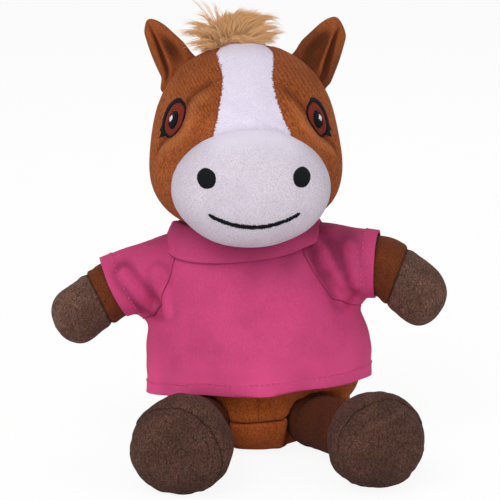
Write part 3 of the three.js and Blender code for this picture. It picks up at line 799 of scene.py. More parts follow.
class Recipe(Nodes):
    """The nodes of one finish."""

    def __init__(self, name: str, roughness: float, sheen: float = 0.0, sheen_tint: Colour = (1, 1, 1),
                 gloss: float = 0.25) -> None:
        """Starts a material.

        Args:
            name: The material's name.
            roughness: How matte it is.
            sheen: How strongly its nap glows at its edges.
            sheen_tint: The glow's colour.
            gloss: How strongly it mirrors.
        """
        self.material = bpy.data.materials.new(name)
        self.material.use_nodes = True
        super().__init__(self.material.node_tree)
        self.shader = self.tree.nodes["Principled BSDF"]
        for entry, value in {"Roughness": roughness, "Specular IOR Level": gloss, "Sheen Weight": sheen,
                             "Sheen Roughness": 0.45, "Sheen Tint": (*sheen_tint, 1)}.items():
            self.shader.inputs[entry].default_value = value

    def place(self, stretch: Colour = (1, 1, 1), turn: Colour = (0, 0, 0)) -> Shade:
        """The place on the piece, stretched and turned."""
        return self.node("Mapping", None, {"Vector": self.node("TexCoord", output="Object"), "Scale": stretch,
                                           "Rotation": tuple(math.radians(a) for a in turn)})

    def mark(self, name: str) -> Shade:
        """A value that the mesh carries."""
        return self.node("Attribute", {"attribute_name": name}, output="Fac")

    def grain(self, size: float, place: Shade, detail: float = 2.0, distortion: float = 0.0) -> Shade:
        """Noise whose blots are about a size in millimetres."""
        return self.node("TexNoise", None, {"Vector": place, "Scale": 1 / (size * MM), "Detail": detail,
                                            "Roughness": 0.6, "Distortion": distortion}, "Fac")

    def between(self, value: Shade, low: float, high: float) -> Shade:
        """A value's smooth rise from 0 at low to 1 at high."""
        return self.node("MapRange", {"interpolation_type": "SMOOTHSTEP"},
                         {"Value": value, "From Min": low, "From Max": high})

    def dyed(self, share: Shade | float, first: "Shade | Colour", second: "Shade | Colour") -> Shade:
        """One colour that gives way to a second one."""
        colours = [c if isinstance(c, Shade) else (*c, 1) for c in (first, second)]
        return self.node("Mix", {"data_type": "RGBA"}, {0: share, 6: colours[0], 7: colours[1]}, 2)

    def finished(self, colour: Shade, relief: Shade, depth: float) -> bpy.types.Material:
        """Joins colour and relief to the shader.

        Args:
            colour: The base colour.
            relief: The height, from 0 to 1.
            depth: How deep it is, in millimetres.

        Returns:
            The material.
        """
        normal = self.node("Bump", None, {"Height": relief, "Distance": depth * MM})
        self.tree.links.new(colour.socket, self.shader.inputs["Base Color"])
        self.tree.links.new(normal.socket, self.shader.inputs["Normal"])
        return self.material


def light_of(colour: Colour, share: float = 1.0) -> Colour:
    """A screen's colour as the light that it stands for, dimmed to a share."""
    parts = [channel / 255 for channel in colour]
    return tuple(share * (p / 12.92 if p <= 0.04045 else ((p + 0.055) / 1.055) ** 2.4) for p in parts)


@dataclass(frozen=True)
class PileFinish:
    """Short-napped plush, brushed one way."""

    name: str
    colour: Colour
    shadow: Colour
    fleck: Colour
    fleck_share: float = 0.3
    nap: float = 0.9
    contrast: float = 0.6
    # Share of painted shade along the stitched seams' grooves.
    stitched: float = 0.5
    brushed: Colour = (1.0, 1.0, 0.4)
    lean: Colour = (0.0, 0.0, 0.0)
    relief: float = 0.35
    sheen: float = 0.25
    ribs: float = 0.0
    ticks: Colour | None = None
    patches: float = 0.25
    # Colour of a painted highlight, laid where the mesh's lit mark is high.
    pale: Colour | None = None

    def material(self) -> bpy.types.Material:
        """Makes the finish.

        Returns:
            The material.
        """
        colour, shadow, fleck = (light_of(c) for c in (self.colour, self.shadow, self.fleck))
        make = Recipe(self.name, 0.92, self.sheen, fleck)
        brushed = make.place(self.brushed, self.lean)
        plain = make.place()
        nap = make.grain(self.nap, brushed, 3.0, 0.4)
        broad = make.grain(16, plain, 2.0)
        fine = make.grain(self.nap * 0.8, plain, 1.0)
        colour = make.dyed((1 - make.between(nap, 0.32, 0.64)) * self.contrast, colour, shadow)
        colour = make.dyed(make.between(fine, 0.5, 0.66) * self.fleck_share, colour, fleck)
        colour = make.dyed(make.between(broad, 0.35, 0.7) * self.patches, colour, shadow)
        relief = nap * 0.7 + fine * 0.3
        seam, worn = make.mark("seam"), make.mark("worn")
        # Painted highlight where this mark is above zero and painted shade where it is below: it follows the
        # folds, ridges, hollows and crushed pile of the relief.
        colour = make.dyed(make.between(worn, 0.1, 1.0) * 0.3, colour, fleck)
        colour = make.dyed(make.between(worn, -0.1, -1.0) * 0.8, colour, light_of(self.shadow, 0.6))
        if self.ribs:
            rows = make.node("TexWave", {"wave_type": "BANDS", "bands_direction": "X", "wave_profile": "SIN"},
                             {"Vector": make.place((1, 0.15, 1), (0, 34, 0)), "Scale": 190.0,
                              "Distortion": 2.6, "Detail": 2.0, "Detail Scale": 0.35}, "Fac")
            seen = make.between(make.mark("ribbed"), 0.1, 0.9)
            colour = make.dyed((1 - rows) * seen * self.ribs, colour, shadow)
            relief = relief + rows * seen * 0.5
        if self.pale:
            # Painted highlight on the muzzle's top, beside the blaze.
            colour = make.dyed(make.between(make.mark("lit"), 0, 1) * 0.8, colour, light_of(self.pale))
        if self.ticks:
            reach = make.grain(0.9, make.place((0.4, 1, 1.2)), 1.0) * 3.8 - 1.4
            ticked = make.between(reach - make.mark("brown"), -0.1, 0.1)
            colour = make.dyed(ticked, colour, light_of(self.ticks))
        # Painted shade in the seams' grooves.
        deep = light_of(self.shadow, 0.9 if self.ticks else 0.4)
        colour = make.dyed((1 - make.between(seam, 0.1, 0.8)) * self.stitched, colour, deep)
        return make.finished(colour, relief, self.relief)


@dataclass(frozen=True)
class JerseyFinish:
    """Fine single knit, with its wales running down."""

    name: str
    colour: Colour
    shadow: Colour
    light: Colour
    wale: float = 0.75
    relief: float = 0.12

    def material(self) -> bpy.types.Material:
        """Makes the finish.

        Returns:
            The material.
        """
        colour, shadow, light = (light_of(c) for c in (self.colour, self.shadow, self.light))
        make = Recipe(self.name, 0.85, 0.3, colour)
        wales = make.mark("around").waves(self.wale)
        courses = make.mark("along").waves(self.wale * 0.8, wales * 2.0)
        yarn = make.grain(0.9, make.place((1, 1, 0.6)), 2.0)
        broad = make.grain(22, make.place(), 2.0)
        loops = wales * 0.6 + courses * 0.4
        colour = make.dyed((1 - loops) * 0.2 + make.between(yarn, 0.3, 0.7) * 0.14, colour, shadow)
        colour = make.dyed(make.between(broad, 0.4, 0.7) * 0.22, colour, shadow)
        shaded, seam = make.mark("shaded"), make.mark("seam")
        # Painted shade under the head and in the folds where shaded is above zero, and painted light near the
        # hem where it is below.
        colour = make.dyed(make.between(shaded, 0, 1) * 0.85, colour, light_of(self.shadow, 0.5))
        colour = make.dyed(make.between(shaded, 0, -1) * 0.8, colour, light)
        # Painted shade along the seams.
        colour = make.dyed((1 - make.between(seam, 0.05, 0.5)) * 0.6, colour, light_of(self.shadow, 0.4))
        return make.finished(colour, loops + yarn * 0.6, self.relief)


@dataclass(frozen=True)
class ThreadFinish:
    """Satin stitches side by side."""

    name: str
    colour: Colour
    shadow: Colour
    strand: float = 0.5

    def material(self) -> bpy.types.Material:
        """Makes the finish.

        Returns:
            The material.
        """
        colour, shadow = light_of(self.colour), light_of(self.shadow)
        make = Recipe(self.name, 0.6, 0.02, colour, gloss=0.12)
        rows = make.mark("satin").waves(self.strand)
        fibre = make.grain(0.35, make.place((1, 1, 0.3)), 2.0)
        colour = make.dyed((1 - rows) * 0.5 + make.between(fibre, 0.5, 0.8) * 0.3, colour, shadow)
        return make.finished(colour, rows * 0.8 + fibre * 0.4, 0.15)


@dataclass(frozen=True)
class HairFinish:
    """Long synthetic hair, darker at its roots."""

    name: str
    colour: Colour
    root: Colour
    light: Colour

    def material(self) -> bpy.types.Material:
        """Makes the finish.

        Returns:
            The material.
        """
        colour, root, light = (light_of(c) for c in (self.colour, self.root, self.light))
        make = Recipe(self.name, 0.55, 0.2, light)
        along, tone = make.mark("along"), make.mark("tone")
        colour = make.dyed(make.between(along, 0.0, 0.55), root, colour)
        colour = make.dyed(tone * 0.6, colour, light)
        fibre = make.grain(0.4, make.place(), 2.0)
        colour = make.dyed(make.between(fibre, 0.45, 0.7) * 0.25, colour, root)
        return make.finished(colour, fibre, 0.05)


class Finishes:
    """Every finish of the toy, made once, by its name."""

    def __init__(self) -> None:
        """Mixes the colours."""
        tick, tufts, lean = (150, 78, 34), (1.0, 0.8, 0.5), (20, 0, 35)
        finishes = (
            PileFinish("brown_pile", (180, 94, 41), (106, 46, 18), (210, 132, 80), 0.3, 0.8, 0.85, 0.2,
                       (1, 1, 0.45), relief=0.6, sheen=0.1, ribs=0.4),
            PileFinish("ear_pile", (166, 88, 42), (96, 43, 18), (190, 112, 62), 0.25, 0.6, 0.6, 0.3,
                       (1, 1, 0.7), relief=0.5, sheen=0.08),
            PileFinish("dark_brown_pile", (118, 56, 24), (66, 28, 10), (150, 82, 40), 0.25, 0.6, 0.7, 0.5,
                       (1, 1, 0.7), relief=0.6, sheen=0.05),
            PileFinish("seat_pile", (186, 92, 38), (104, 46, 16), (206, 118, 58), 0.3, 0.7, 0.75, 0.45,
                       (1, 1, 0.7), relief=0.8, sheen=0.08),
            # A darker copy of the legs' pile: painted shade on the legs below the body.
            PileFinish("leg_pile", (92, 43, 19), (48, 20, 9), (116, 60, 31), 0.3, 0.6, 0.8,
                       relief=0.6, sheen=0.03),
            PileFinish("hoof_pile", (119, 82, 67), (64, 42, 34), (168, 136, 118), 0.4, 0.9, 0.95, 0.4,
                       tufts, lean, relief=1.0, sheen=0.1, patches=0.55),
            PileFinish("foot_pile", (92, 60, 48), (48, 29, 22), (138, 102, 86), 0.4, 0.9, 0.95, 0.35,
                       tufts, lean, relief=1.0, sheen=0.08, patches=0.45),
            PileFinish("white_pile", (240, 232, 249), (206, 196, 216), (190, 178, 198), 0.25, 0.7, 0.35, 0.15,
                       (1, 1, 1), relief=0.2, sheen=0.05, ticks=tick),
            # The muzzle's pile, with painted light towards its top beside the blaze.
            PileFinish("muzzle_pile", (230, 220, 233), (190, 179, 194), (158, 147, 158), 0.38, 0.7, 0.4, 0.15,
                       (1, 1, 1), relief=0.3, sheen=0.03, ticks=tick, pale=(244, 236, 252)),
            JerseyFinish("pink_knit", (228, 80, 138), (150, 44, 88), (250, 90, 152)),
            ThreadFinish("black_thread", (14, 16, 22), (4, 5, 8)),
            ThreadFinish("rust_thread", (138, 52, 38), (66, 20, 15)),
            ThreadFinish("white_thread", (246, 244, 248), (190, 186, 196)),
            ThreadFinish("pink_thread", (240, 112, 164), (200, 76, 128)),
            HairFinish("tan_hair", (250, 192, 128), (190, 124, 68), (255, 228, 184)),
        )
        self.by_name = {finish.name: finish.material() for finish in finishes}

    def dress(self, piece: Piece, slot: str, finish: str | None = None) -> Piece:
        """Gives a piece its finish.

        Args:
            piece: The piece.
            slot: The record's material slot.
            finish: Another finish's name, where it isn't the slot's own.

        Returns:
            The piece.
        """
        piece.data.materials.clear()
        piece.data.materials.append(self.by_name[finish or slot])
        return piece


# The toy


NECK = Placing((-7, 0, 112), ((1, 0, 0), (0, 1, 0), (0, 0, 1)))
SKULL = (0.0, -5.0, 42.0)
TURNED = math.radians(4.5)
HEAD = Placing((-7, 0, 112), ((math.cos(TURNED), -math.sin(TURNED), 0),
                              (math.sin(TURNED), math.cos(TURNED), 0), (0, 0, 1)))


@dataclass
class Torso:
    """The stuffed body: two fronts, a back and a seat, sewn round filling and a bag of pellets."""

    centres: tuple = ((0, 0, 11), (0, -2, 46), (-7, -3, 74))
    radii: tuple = ((44, 42, 11), (48.5, 42, 42), (40, 35, 34))
    blend: float = 4.0
    middle: tuple = (0, -2, 46)
    pressed: float = 0.5
    hip_fullness: float = 5.0
    waist_fullness: float = 2.4
    seat_slope: float = 0.08
    settled: tuple = (3.5, 14.0)
    seat_seam: float = 18.0
    side_seam: float = 6.0
    neck_ball: float = 19.6
    groove: float = 1.5
    groove_width: float = 1.0
    rings: int = 46
    sectors: int = 84

    def __post_init__(self) -> None:
        """Works out how far the raw form stands above the floor."""
        self.raw = Lumps(self.centres, self.radii, self.blend)
        down = reach_of(self.raw.distance, as_array([self.middle]), as_array([(0, 0, -1)]))[0]
        self.drop = self.middle[2] - float(down)

    def distance(self, points: Array) -> Array:
        """The signed distance from the body's skin."""
        return self.raw.distance(points + np.array([0, 0, self.drop + self.pressed]))

    def form(self, sockets: Sockets) -> Form:
        """The closed form before it is stuffed.

        Args:
            sockets: The middle and radius of each ball that sits in it.

        Returns:
            The form.
        """
        def fuller(points: Array) -> Array:
            """The body's distance, with the waist above the seat filled out."""
            return self.distance(points) - self.waist_fullness * bell(points[:, 2], 20, 7)

        points = from_middle(fuller, self.middle, globe(self.rings, self.sectors), sockets)
        points[:, 0] += self.hip_fullness * bell(points[:, 2], 31, 11) * step(15, 42, points[:, 0])
        sunk, top = self.settled
        grown = (points[:, 2] - sunk) * top / (top - sunk)
        points[:, 2] = np.maximum(np.where(points[:, 2] < top, grown, points[:, 2]), 0)
        marks = {"seat": points[:, 2] - self.seat_seam - self.seat_slope * points[:, 0],
                 "back": points[:, 1] - self.side_seam, "middle": points[:, 0].copy()}
        held = (points[:, 2] < 1.5) | (np.abs(marks["seat"]) < 1.5) | at_sockets(points, sockets, 2.5)
        return Form("torso", points, ring_faces(self.rings, self.sectors), marks, held)

    def relief(self, fabric: Sewn) -> Array:
        """The heights of seams, puckers and creases, with crushed pile above the seat seam that takes painted
        light where it rises and painted shade where it sinks.

        Args:
            fabric: Some of the body's fabric.

        Returns:
            One height a point.
        """
        seat, back, middle = (fabric.marks[name] for name in ("seat", "back", "middle"))
        above = step(0, 2.5, seat)
        heights = -self.groove * fading(seat, self.groove_width)
        heights -= 0.9 * fading(back, 0.9) * above
        heights -= 0.3 * fading(middle, 0.8) * above * (fabric.points[:, 1] < 0)
        creased = fading(np.maximum(seat, 0), 9) * step(0, 1.5, seat) + 0.35 * fading(seat, 3)
        crushed = creased * ripple(fabric.points * (1, 1, 0.8), 4.5, 3, 11)
        # Crushed pile, with painted light on its rises and painted shade in its dips.
        fabric.marks["worn"] = 0.8 * crushed
        heights += 0.5 * crushed + 0.35 * ripple(fabric.points, 24, 4) * step(0, 6, fabric.points[:, 2])
        return heights * step(0, 1.2, fabric.points[:, 2])

    def build(self, finishes: Finishes, sockets: Sockets) -> None:
        """Cuts, thickens and dresses the panels.

        Args:
            finishes: The toy's finishes.
            sockets: The middle and radius of each ball that sits in the body.
        """
        whole = self.form(sockets).sewn()
        upper, seat = whole.split(whole.marks["seat"])
        back, front = upper.split(upper.marks["back"])
        left, right = front.split(front.marks["middle"])
        panels = (("body_front_left", left, ["body_stuffing"]), ("body_front_right", right, []),
                  ("body_back", back, []), ("body_seat", seat, ["pellet_bag"]))
        for name, fabric, inside in panels:
            raised = fabric.raised(self.relief(fabric))
            raised.points[:, 2] = np.maximum(raised.points[:, 2], 0)
            beside, behind, between = (np.abs(fabric.marks[mark]) for mark in ("seat", "back", "middle"))
            upright = np.minimum(behind, between + 0.55) + 99 * (name == "body_seat")
            piece = panel(f"torso_{name}", raised, np.minimum(beside, upright))
            given(finishes.dress(piece, "brown_pile", "seat_pile"), "torso", [name, *inside])


@dataclass
class Neck:
    """The stuffed ball between body and head."""

    radius: float = 18.8

    def build(self, finishes: Finishes) -> None:
        """Makes the ball and dresses it.

        Args:
            finishes: The toy's finishes.
        """
        ways = globe(22, 40)
        points = NECK.out(ways * self.radius * (1 + 0.008 * ripple(ways * 20, 9, 8))[:, None])
        piece = new_piece("neck_ball", points, ring_faces(22, 40), {"seam": np.full(len(points), 9.0)})
        finishes.dress(piece, "brown_pile", "dark_brown_pile")
        given(piece, "neck", ["neck_skin", "neck_stuffing"])


@dataclass
class Head:
    """The stuffed head: two brown sides, a back, a white blaze and a white muzzle."""

    centres: tuple = (SKULL, (0, -5, 57.5), (0, -46, 23), (21.8, -11, 25), (-21.2, -11, 25))
    radii: tuple = ((44, 39, 42.6), (36, 32, 27.3), (37.5, 23, 28), (24.6, 25, 25), (24.4, 25, 25))
    blend: float = 4.0
    middle: tuple = (0, -18.5, 35.7)
    back_seam: float = 4.0
    muzzle_seam: float = 36.0
    neck_ball: float = 19.5
    muzzle_slope: float = 0.42
    blaze_back: float = 2.0
    blaze_half: dict[Side, tuple] = both(
        ((23, 19.4), (49, 19.4), (55, 16.4), (62, 13.7), (69, 12), (75, 11.5), (81, 13), (84, 13.4), (86, 11),
         (95, 4)),
        ((23, 18.4), (49, 18.4), (55, 16.4), (62, 14.8), (69, 13.5), (75, 12.7), (81, 14.2), (84, 15),
         (86, 12.5), (95, 5)))
    creases: dict[Side, tuple] = both(
        ((43, -23, 36), (40.9, -25.9, 41.2), (37, -29.5, 44.7), (33.6, -32, 48.1), (29.4, -34, 53.4),
         (27.4, -33.9, 57.6), (24.8, -34.2, 61), (21.4, -34.4, 64.7), (16.6, -34.5, 68.4),
         (13.3, -33.4, 71.6)),
        ((44.8, -21.3, 36), (43.4, -22.4, 39.7), (41, -24.7, 43.5), (37.3, -28.4, 46.9), (34, -30.9, 50.1),
         (32.1, -31.4, 54), (30.9, -30.8, 57.8), (29.9, -30, 61.1), (28.1, -29.8, 64.4), (24.8, -30.4, 67.3),
         (21.5, -31.2, 69.3), (17.7, -31.8, 71.2)))
    rings: int = 58
    sectors: int = 92

    def __post_init__(self) -> None:
        """Joins the lumps."""
        self.lumps = Lumps(self.centres, self.radii, self.blend)

    def marks(self, points: Array) -> dict[str, Array]:
        """Distances from the seams.

        Args:
            points: Places in the head's own frame.

        Returns:
            One distance a point for each seam.
        """
        normal = unit(np.array([0, -1, -self.muzzle_slope]))
        left, right = (np.interp(points[:, 2], *np.array(self.blaze_half[side]).T) for side in Side)
        return {"muzzle": (points - np.array([0, -self.muzzle_seam, 23])) @ normal,
                "back": points[:, 1] - self.back_seam,
                "blaze": np.where(points[:, 0] > 0, left, right) - np.abs(points[:, 0]),
                "middle": points[:, 0].copy()}

    def form(self, sockets: Sockets) -> Form:
        """The closed form before it is stuffed, in the head's own frame.

        Args:
            sockets: The middle and radius of each ball that sits in it.

        Returns:
            The form.
        """
        points = from_middle(self.lumps.distance, self.middle, globe(self.rings, self.sectors), sockets)
        marks = self.marks(points)
        muzzle, back, blaze = (np.abs(marks[name]) < 1.2 for name in ("muzzle", "back", "blaze"))
        held = muzzle | back | blaze & (points[:, 1] < self.blaze_back) & (marks["muzzle"] < 0)
        held |= at_sockets(points, sockets, 2)
        return Form("head", points, ring_faces(self.rings, self.sectors), marks, held,
                    Filling(pressure=2.0, spare=0.015, most=1.0))

    def off_crease(self, points: Array, line: Array) -> Array:
        """The distance from a crease, positive on its muzzle side.

        Args:
            points: Places on the head, mirrored to the left.
            line: The crease, from the cheek up to the blaze.

        Returns:
            One distance a point.
        """
        least, signed = np.full(len(points), np.inf), np.zeros(len(points))
        for start, end in zip(line, line[1:]):
            run = end - start
            away = points - start - np.clip((points - start) @ run / (run @ run), 0, 1)[:, None] * run
            far = length_of(away)
            signed = np.where(far < least, far * np.sign(run[0] * away[:, 2] - run[2] * away[:, 0]), signed)
            least = np.minimum(far, least)
        return signed

    def relief(self, fabric: Sewn) -> Array:
        """The heights of seams, creases and soft lumps, with painted highlight on the folds' ridges and
        painted shade in their valleys.

        Args:
            fabric: Some of the head's fabric.

        Returns:
            One height a point.
        """
        points, marks = fabric.points, fabric.marks
        off_muzzle, off_back = step(0, 2.0, -marks["muzzle"]), step(0, 2.0, -marks["back"])
        marks["worn"] = np.zeros(len(points))
        pits = step(-0.2, 0.6, np.sin(points[:, 0] * TURN / 3.1))
        heights = -np.where(marks["blaze"] > 0, 0.3 + 0.5 * pits, 0.75) * fading(marks["muzzle"], 0.8)
        heights -= 0.9 * fading(marks["back"], 0.9) * off_muzzle
        heights -= 0.2 * fading(marks["blaze"], 0.7) * off_muzzle * off_back
        for side in Side:
            mirrored = points * (side.value, 1, 1)
            off = self.off_crease(mirrored, smooth_line(as_array(self.creases[side]), 30))
            fold = 1.8 * bell(off, 5.2, 3.6) - 1.6 * bell(off, -0.4, 2.9)
            beyond = step(28, 40, points[:, 2]) * off_muzzle * (mirrored[:, 0] > 8)
            fold *= beyond * step(0, 7, -marks["blaze"])
            # Painted highlight on each fold's ridge and painted shade in its valley.
            marks["worn"] += fold * 0.5
            heights += fold
        heights += 0.3 * ripple(points, 22, 5)
        beside = fading(marks["blaze"], 5) * off_muzzle + fading(marks["muzzle"], 4)
        return heights + 0.16 * beside * ripple(points, 3.6, 6, 11)

    def build(self, finishes: Finishes, sockets: Sockets) -> "Ground":
        """Cuts, thickens and dresses the panels.

        Args:
            finishes: The toy's finishes.
            sockets: The middle and radius of each ball that sits in the head.

        Returns:
            The finished surface, for what is sewn on it.
        """
        whole = self.form(sockets).sewn()
        muzzle, rest = whole.split(whole.marks["muzzle"])
        back, face = rest.split(rest.marks["back"])
        blaze, brown = face.split(face.marks["blaze"])
        left, right = brown.split(brown.marks["middle"])
        seams = ("muzzle", "blaze", "back")
        panels = (("muzzle", muzzle, "white_pile", seams[:1], []),
                  ("blaze", blaze, "white_pile", seams[1:2], []),
                  ("head_back", back, "brown_pile", seams[2:], ["head_stuffing"]),
                  ("head_side_left", left, "brown_pile", seams, []),
                  ("head_side_right", right, "brown_pile", seams, []))
        grounds = []
        for name, fabric, slot, edges, inside in panels:
            raised = fabric.raised(self.relief(fabric))
            grounds.append((raised.points, raised.faces))
            points, marks = fabric.points, fabric.marks
            seam = np.min([np.abs(marks[edge]) for edge in edges], axis=0)
            crown = step(50, 62, points[:, 2]) * step(-4, -12, points[:, 1]) * (name != "muzzle")
            raised = Sewn(HEAD.out(raised.points), raised.faces, raised.ways,
                          {**marks, "ribbed": crown * step(40, 30, np.abs(points[:, 0]))})
            if slot == "white_pile":
                beside = np.maximum(marks["blaze"], 0) if name == "muzzle" else 99 * (marks["muzzle"] > 0)
                raised.marks["brown"] = np.hypot(seam, beside)
                # Painted light on the muzzle's top next to the blaze, fading away from the seam.
                raised.marks["lit"] = step(26, 0, seam) * step(-12, 6, marks["blaze"]) * (points[:, 2] > 8)
            piece = panel(f"head_{name}", raised, seam)
            finishes.dress(piece, slot, "muzzle_pile" if name == "muzzle" else None)
            given(piece, "head", [name, *inside])
        return Ground.of(grounds)


@dataclass
class Ground:
    """A finished surface that thread and hair are laid on, in its own frame."""

    tree: BVHTree

    @staticmethod
    def of(parts: Sequence[tuple[Array, Array]]) -> "Ground":
        """One surface of several panels.

        Args:
            parts: Each panel's points and triangles.

        Returns:
            The surface.
        """
        points, faces, count = [], [], 0
        for places, triangles in parts:
            points.append(places)
            faces.append(triangles + count)
            count += len(places)
        return Ground(BVHTree.FromPolygons(np.concatenate(points).tolist(), np.concatenate(faces).tolist()))

    def hit(self, start: Array, way: Array) -> Array:
        """Where a thread that comes from outside meets the surface.

        Args:
            start: Places outside.
            way: The direction in.

        Returns:
            The places on the surface.
        """
        found = []
        for point in start:
            place, _, _, _ = self.tree.ray_cast(Vector(point), Vector(way))
            if place is None:
                place, _, _, _ = self.tree.find_nearest(Vector(point + way * length_of(start).min()))
            found.append(tuple(place))
        return np.array(found)


@dataclass
class Eye:
    """One embroidered eye: a lashed outline, an iris, a pupil and a glint."""

    side: Side
    azimuth: float
    height: float = 53.5
    half_width: float = 5.3
    half_height: float = 8.4
    band: float = 2.7
    tilt: float = 16.0
    pupil: tuple = (2.7, 4.8)
    glint: tuple = (1.3, 2.2)
    points: int = 72

    def loop(self, half_width: float, half_height: float, power: float = 2.0) -> Array:
        """A closed outline round the eye's middle, tilted as the eye is.

        Args:
            half_width: Half its width.
            half_height: Half its height.
            power: 2 for an ellipse, 1 for a diamond.

        Returns:
            The outline's flat points.
        """
        angle = TURN * np.arange(self.points) / self.points
        cosine, sine = np.cos(angle), np.sin(angle)
        flat = np.stack([self.side.value * half_width * np.sign(cosine) * np.abs(cosine) ** (2 / power),
                         half_height * np.sign(sine) * np.abs(sine) ** (2 / power)], axis=1)
        return self.tilted(flat)

    def tilted(self, flat: Array) -> Array:
        """Flat places turned by the eye's tilt.

        Args:
            flat: Places round the eye's middle.

        Returns:
            The places once they are turned.
        """
        tilt = math.radians(self.side.value * self.tilt)
        turn = np.array([[math.cos(tilt), math.sin(tilt)], [-math.sin(tilt), math.cos(tilt)]])
        return flat @ turn

    def outline(self) -> Array:
        """The outline's outer edge, thick on the outer side and drawn out in two lashes below.

        Returns:
            The edge's flat points.
        """
        angle = TURN * np.arange(self.points) / self.points
        outer = 0.5 + 0.5 * np.sign(np.cos(angle)) * np.abs(np.cos(angle)) ** 0.35
        frayed = 0.16 * np.sin(angle * 36) + 0.1 * np.sin(angle * 23 + 1)
        width = self.half_width + (self.band + frayed) * outer + 0.1
        above, below = self.band * (0.3 + 0.7 * outer) + frayed, 0.1 + 1.6 * outer
        height = self.half_height + np.where(np.sin(angle) > 0, above, below)
        flat = np.stack([self.side.value * width * np.cos(angle), height * np.sin(angle)], axis=1)
        degrees = np.degrees(angle)
        for centre, spread, reach in ((318, 7, 2.6), (300, 6, 4.4)):
            spike = bell(degrees, centre, spread) * reach
            flat += spike[:, None] * np.array([self.side.value * 0.62, -0.78])
        return self.tilted(flat)

    def laid(self, ground: Ground, loops: Sequence[Array],
             rises: Sequence[float]) -> tuple[Array, list, Array]:
        """Loops of thread laid on the head.

        Args:
            ground: The head's surface.
            loops: Flat outlines, from the middle outwards.
            rises: How far each stands above the surface.

        Returns:
            The places, the faces and the satin mark.
        """
        azimuth = math.radians(self.side.value * self.azimuth)
        out = np.array([math.sin(azimuth), -math.cos(azimuth), 0])
        across = np.array([math.cos(azimuth), math.sin(azimuth), 0])
        flat = np.concatenate(loops)
        start = flat[:, :1] * across + (self.height + flat[:, 1:]) * np.array([0, 0, 1]) + out * 90
        on = ground.hit(start, -out)
        rise = np.repeat(rises, [len(loop) for loop in loops])
        points = on + out * rise[:, None]
        return HEAD.out(points), strip_faces(len(loops), self.points), flat @ np.array([0.9, 0.44])

    def patch(self, ground: Ground, name: str, inner: Array | None, outer: Array, rise: float) -> Piece:
        """One patch of satin stitch.

        Args:
            ground: The head's surface.
            name: The piece's name.
            inner: The edge of its opening, or None where it has none.
            outer: Its outer edge.
            rise: How far it stands above the surface.

        Returns:
            The piece.
        """
        middle = np.zeros_like(outer) + outer.mean(axis=0)
        start = inner if inner is not None else middle + (outer - middle) * 0.02
        shares = np.linspace(0, 1, 9)
        loops = [start + (outer - start) * share for share in shares]
        edge = 1 - np.abs(2 * shares - 1) ** 6 if inner is not None else 1 - shares**8
        points, faces, satin = self.laid(ground, loops, (rise * edge - 0.15).tolist())
        if inner is None:
            faces.append(tuple(range(self.points)))
        return as_thread(name, points, faces, satin)

    def build(self, finishes: Finishes, ground: Ground) -> None:
        """Stitches the eye.

        Args:
            finishes: The toy's finishes.
            ground: The head's surface.
        """
        word = self.side.word
        iris = self.loop(self.half_width, self.half_height)
        pupil = self.loop(*self.pupil)
        shift = self.tilted(np.array([[self.side.value * 1.0, 0.5]]))
        glint = self.loop(*self.glint, power=1.1) + shift
        parts = (("eye_outline", iris, self.outline(), 0.75, "black_thread"),
                 ("iris", pupil, iris, 0.65, "rust_thread"),
                 ("pupil", None, pupil, 0.85, "black_thread"),
                 ("glint", None, glint, 1.15, "white_thread"))
        for name, inner, outer, rise, slot in parts:
            piece = finishes.dress(self.patch(ground, f"face_{name}_{word}", inner, outer, rise), slot)
            given(piece, "head", [f"{name}_{word}"])


def as_thread(name: str, points: Array, faces: Faces, satin: Array) -> Piece:
    """A patch of stitches with its thickness.

    Args:
        name: The piece's name.
        points: Its upper side.
        faces: The faces of that side.
        satin: Each point's place across the threads.

    Returns:
        The piece.
    """
    piece = turned_outwards(new_piece(name, points, faces, {"satin": satin}))
    upper = np.array([p.normal[:] for p in piece.data.polygons]).mean(axis=0)
    away = points.mean(axis=0) - HEAD.out(np.array([SKULL]))[0]
    if upper @ away < 0:
        piece.data.flip_normals()
    return with_modifier(piece, "SOLIDIFY", thickness=0.6 * MM, offset=-1)


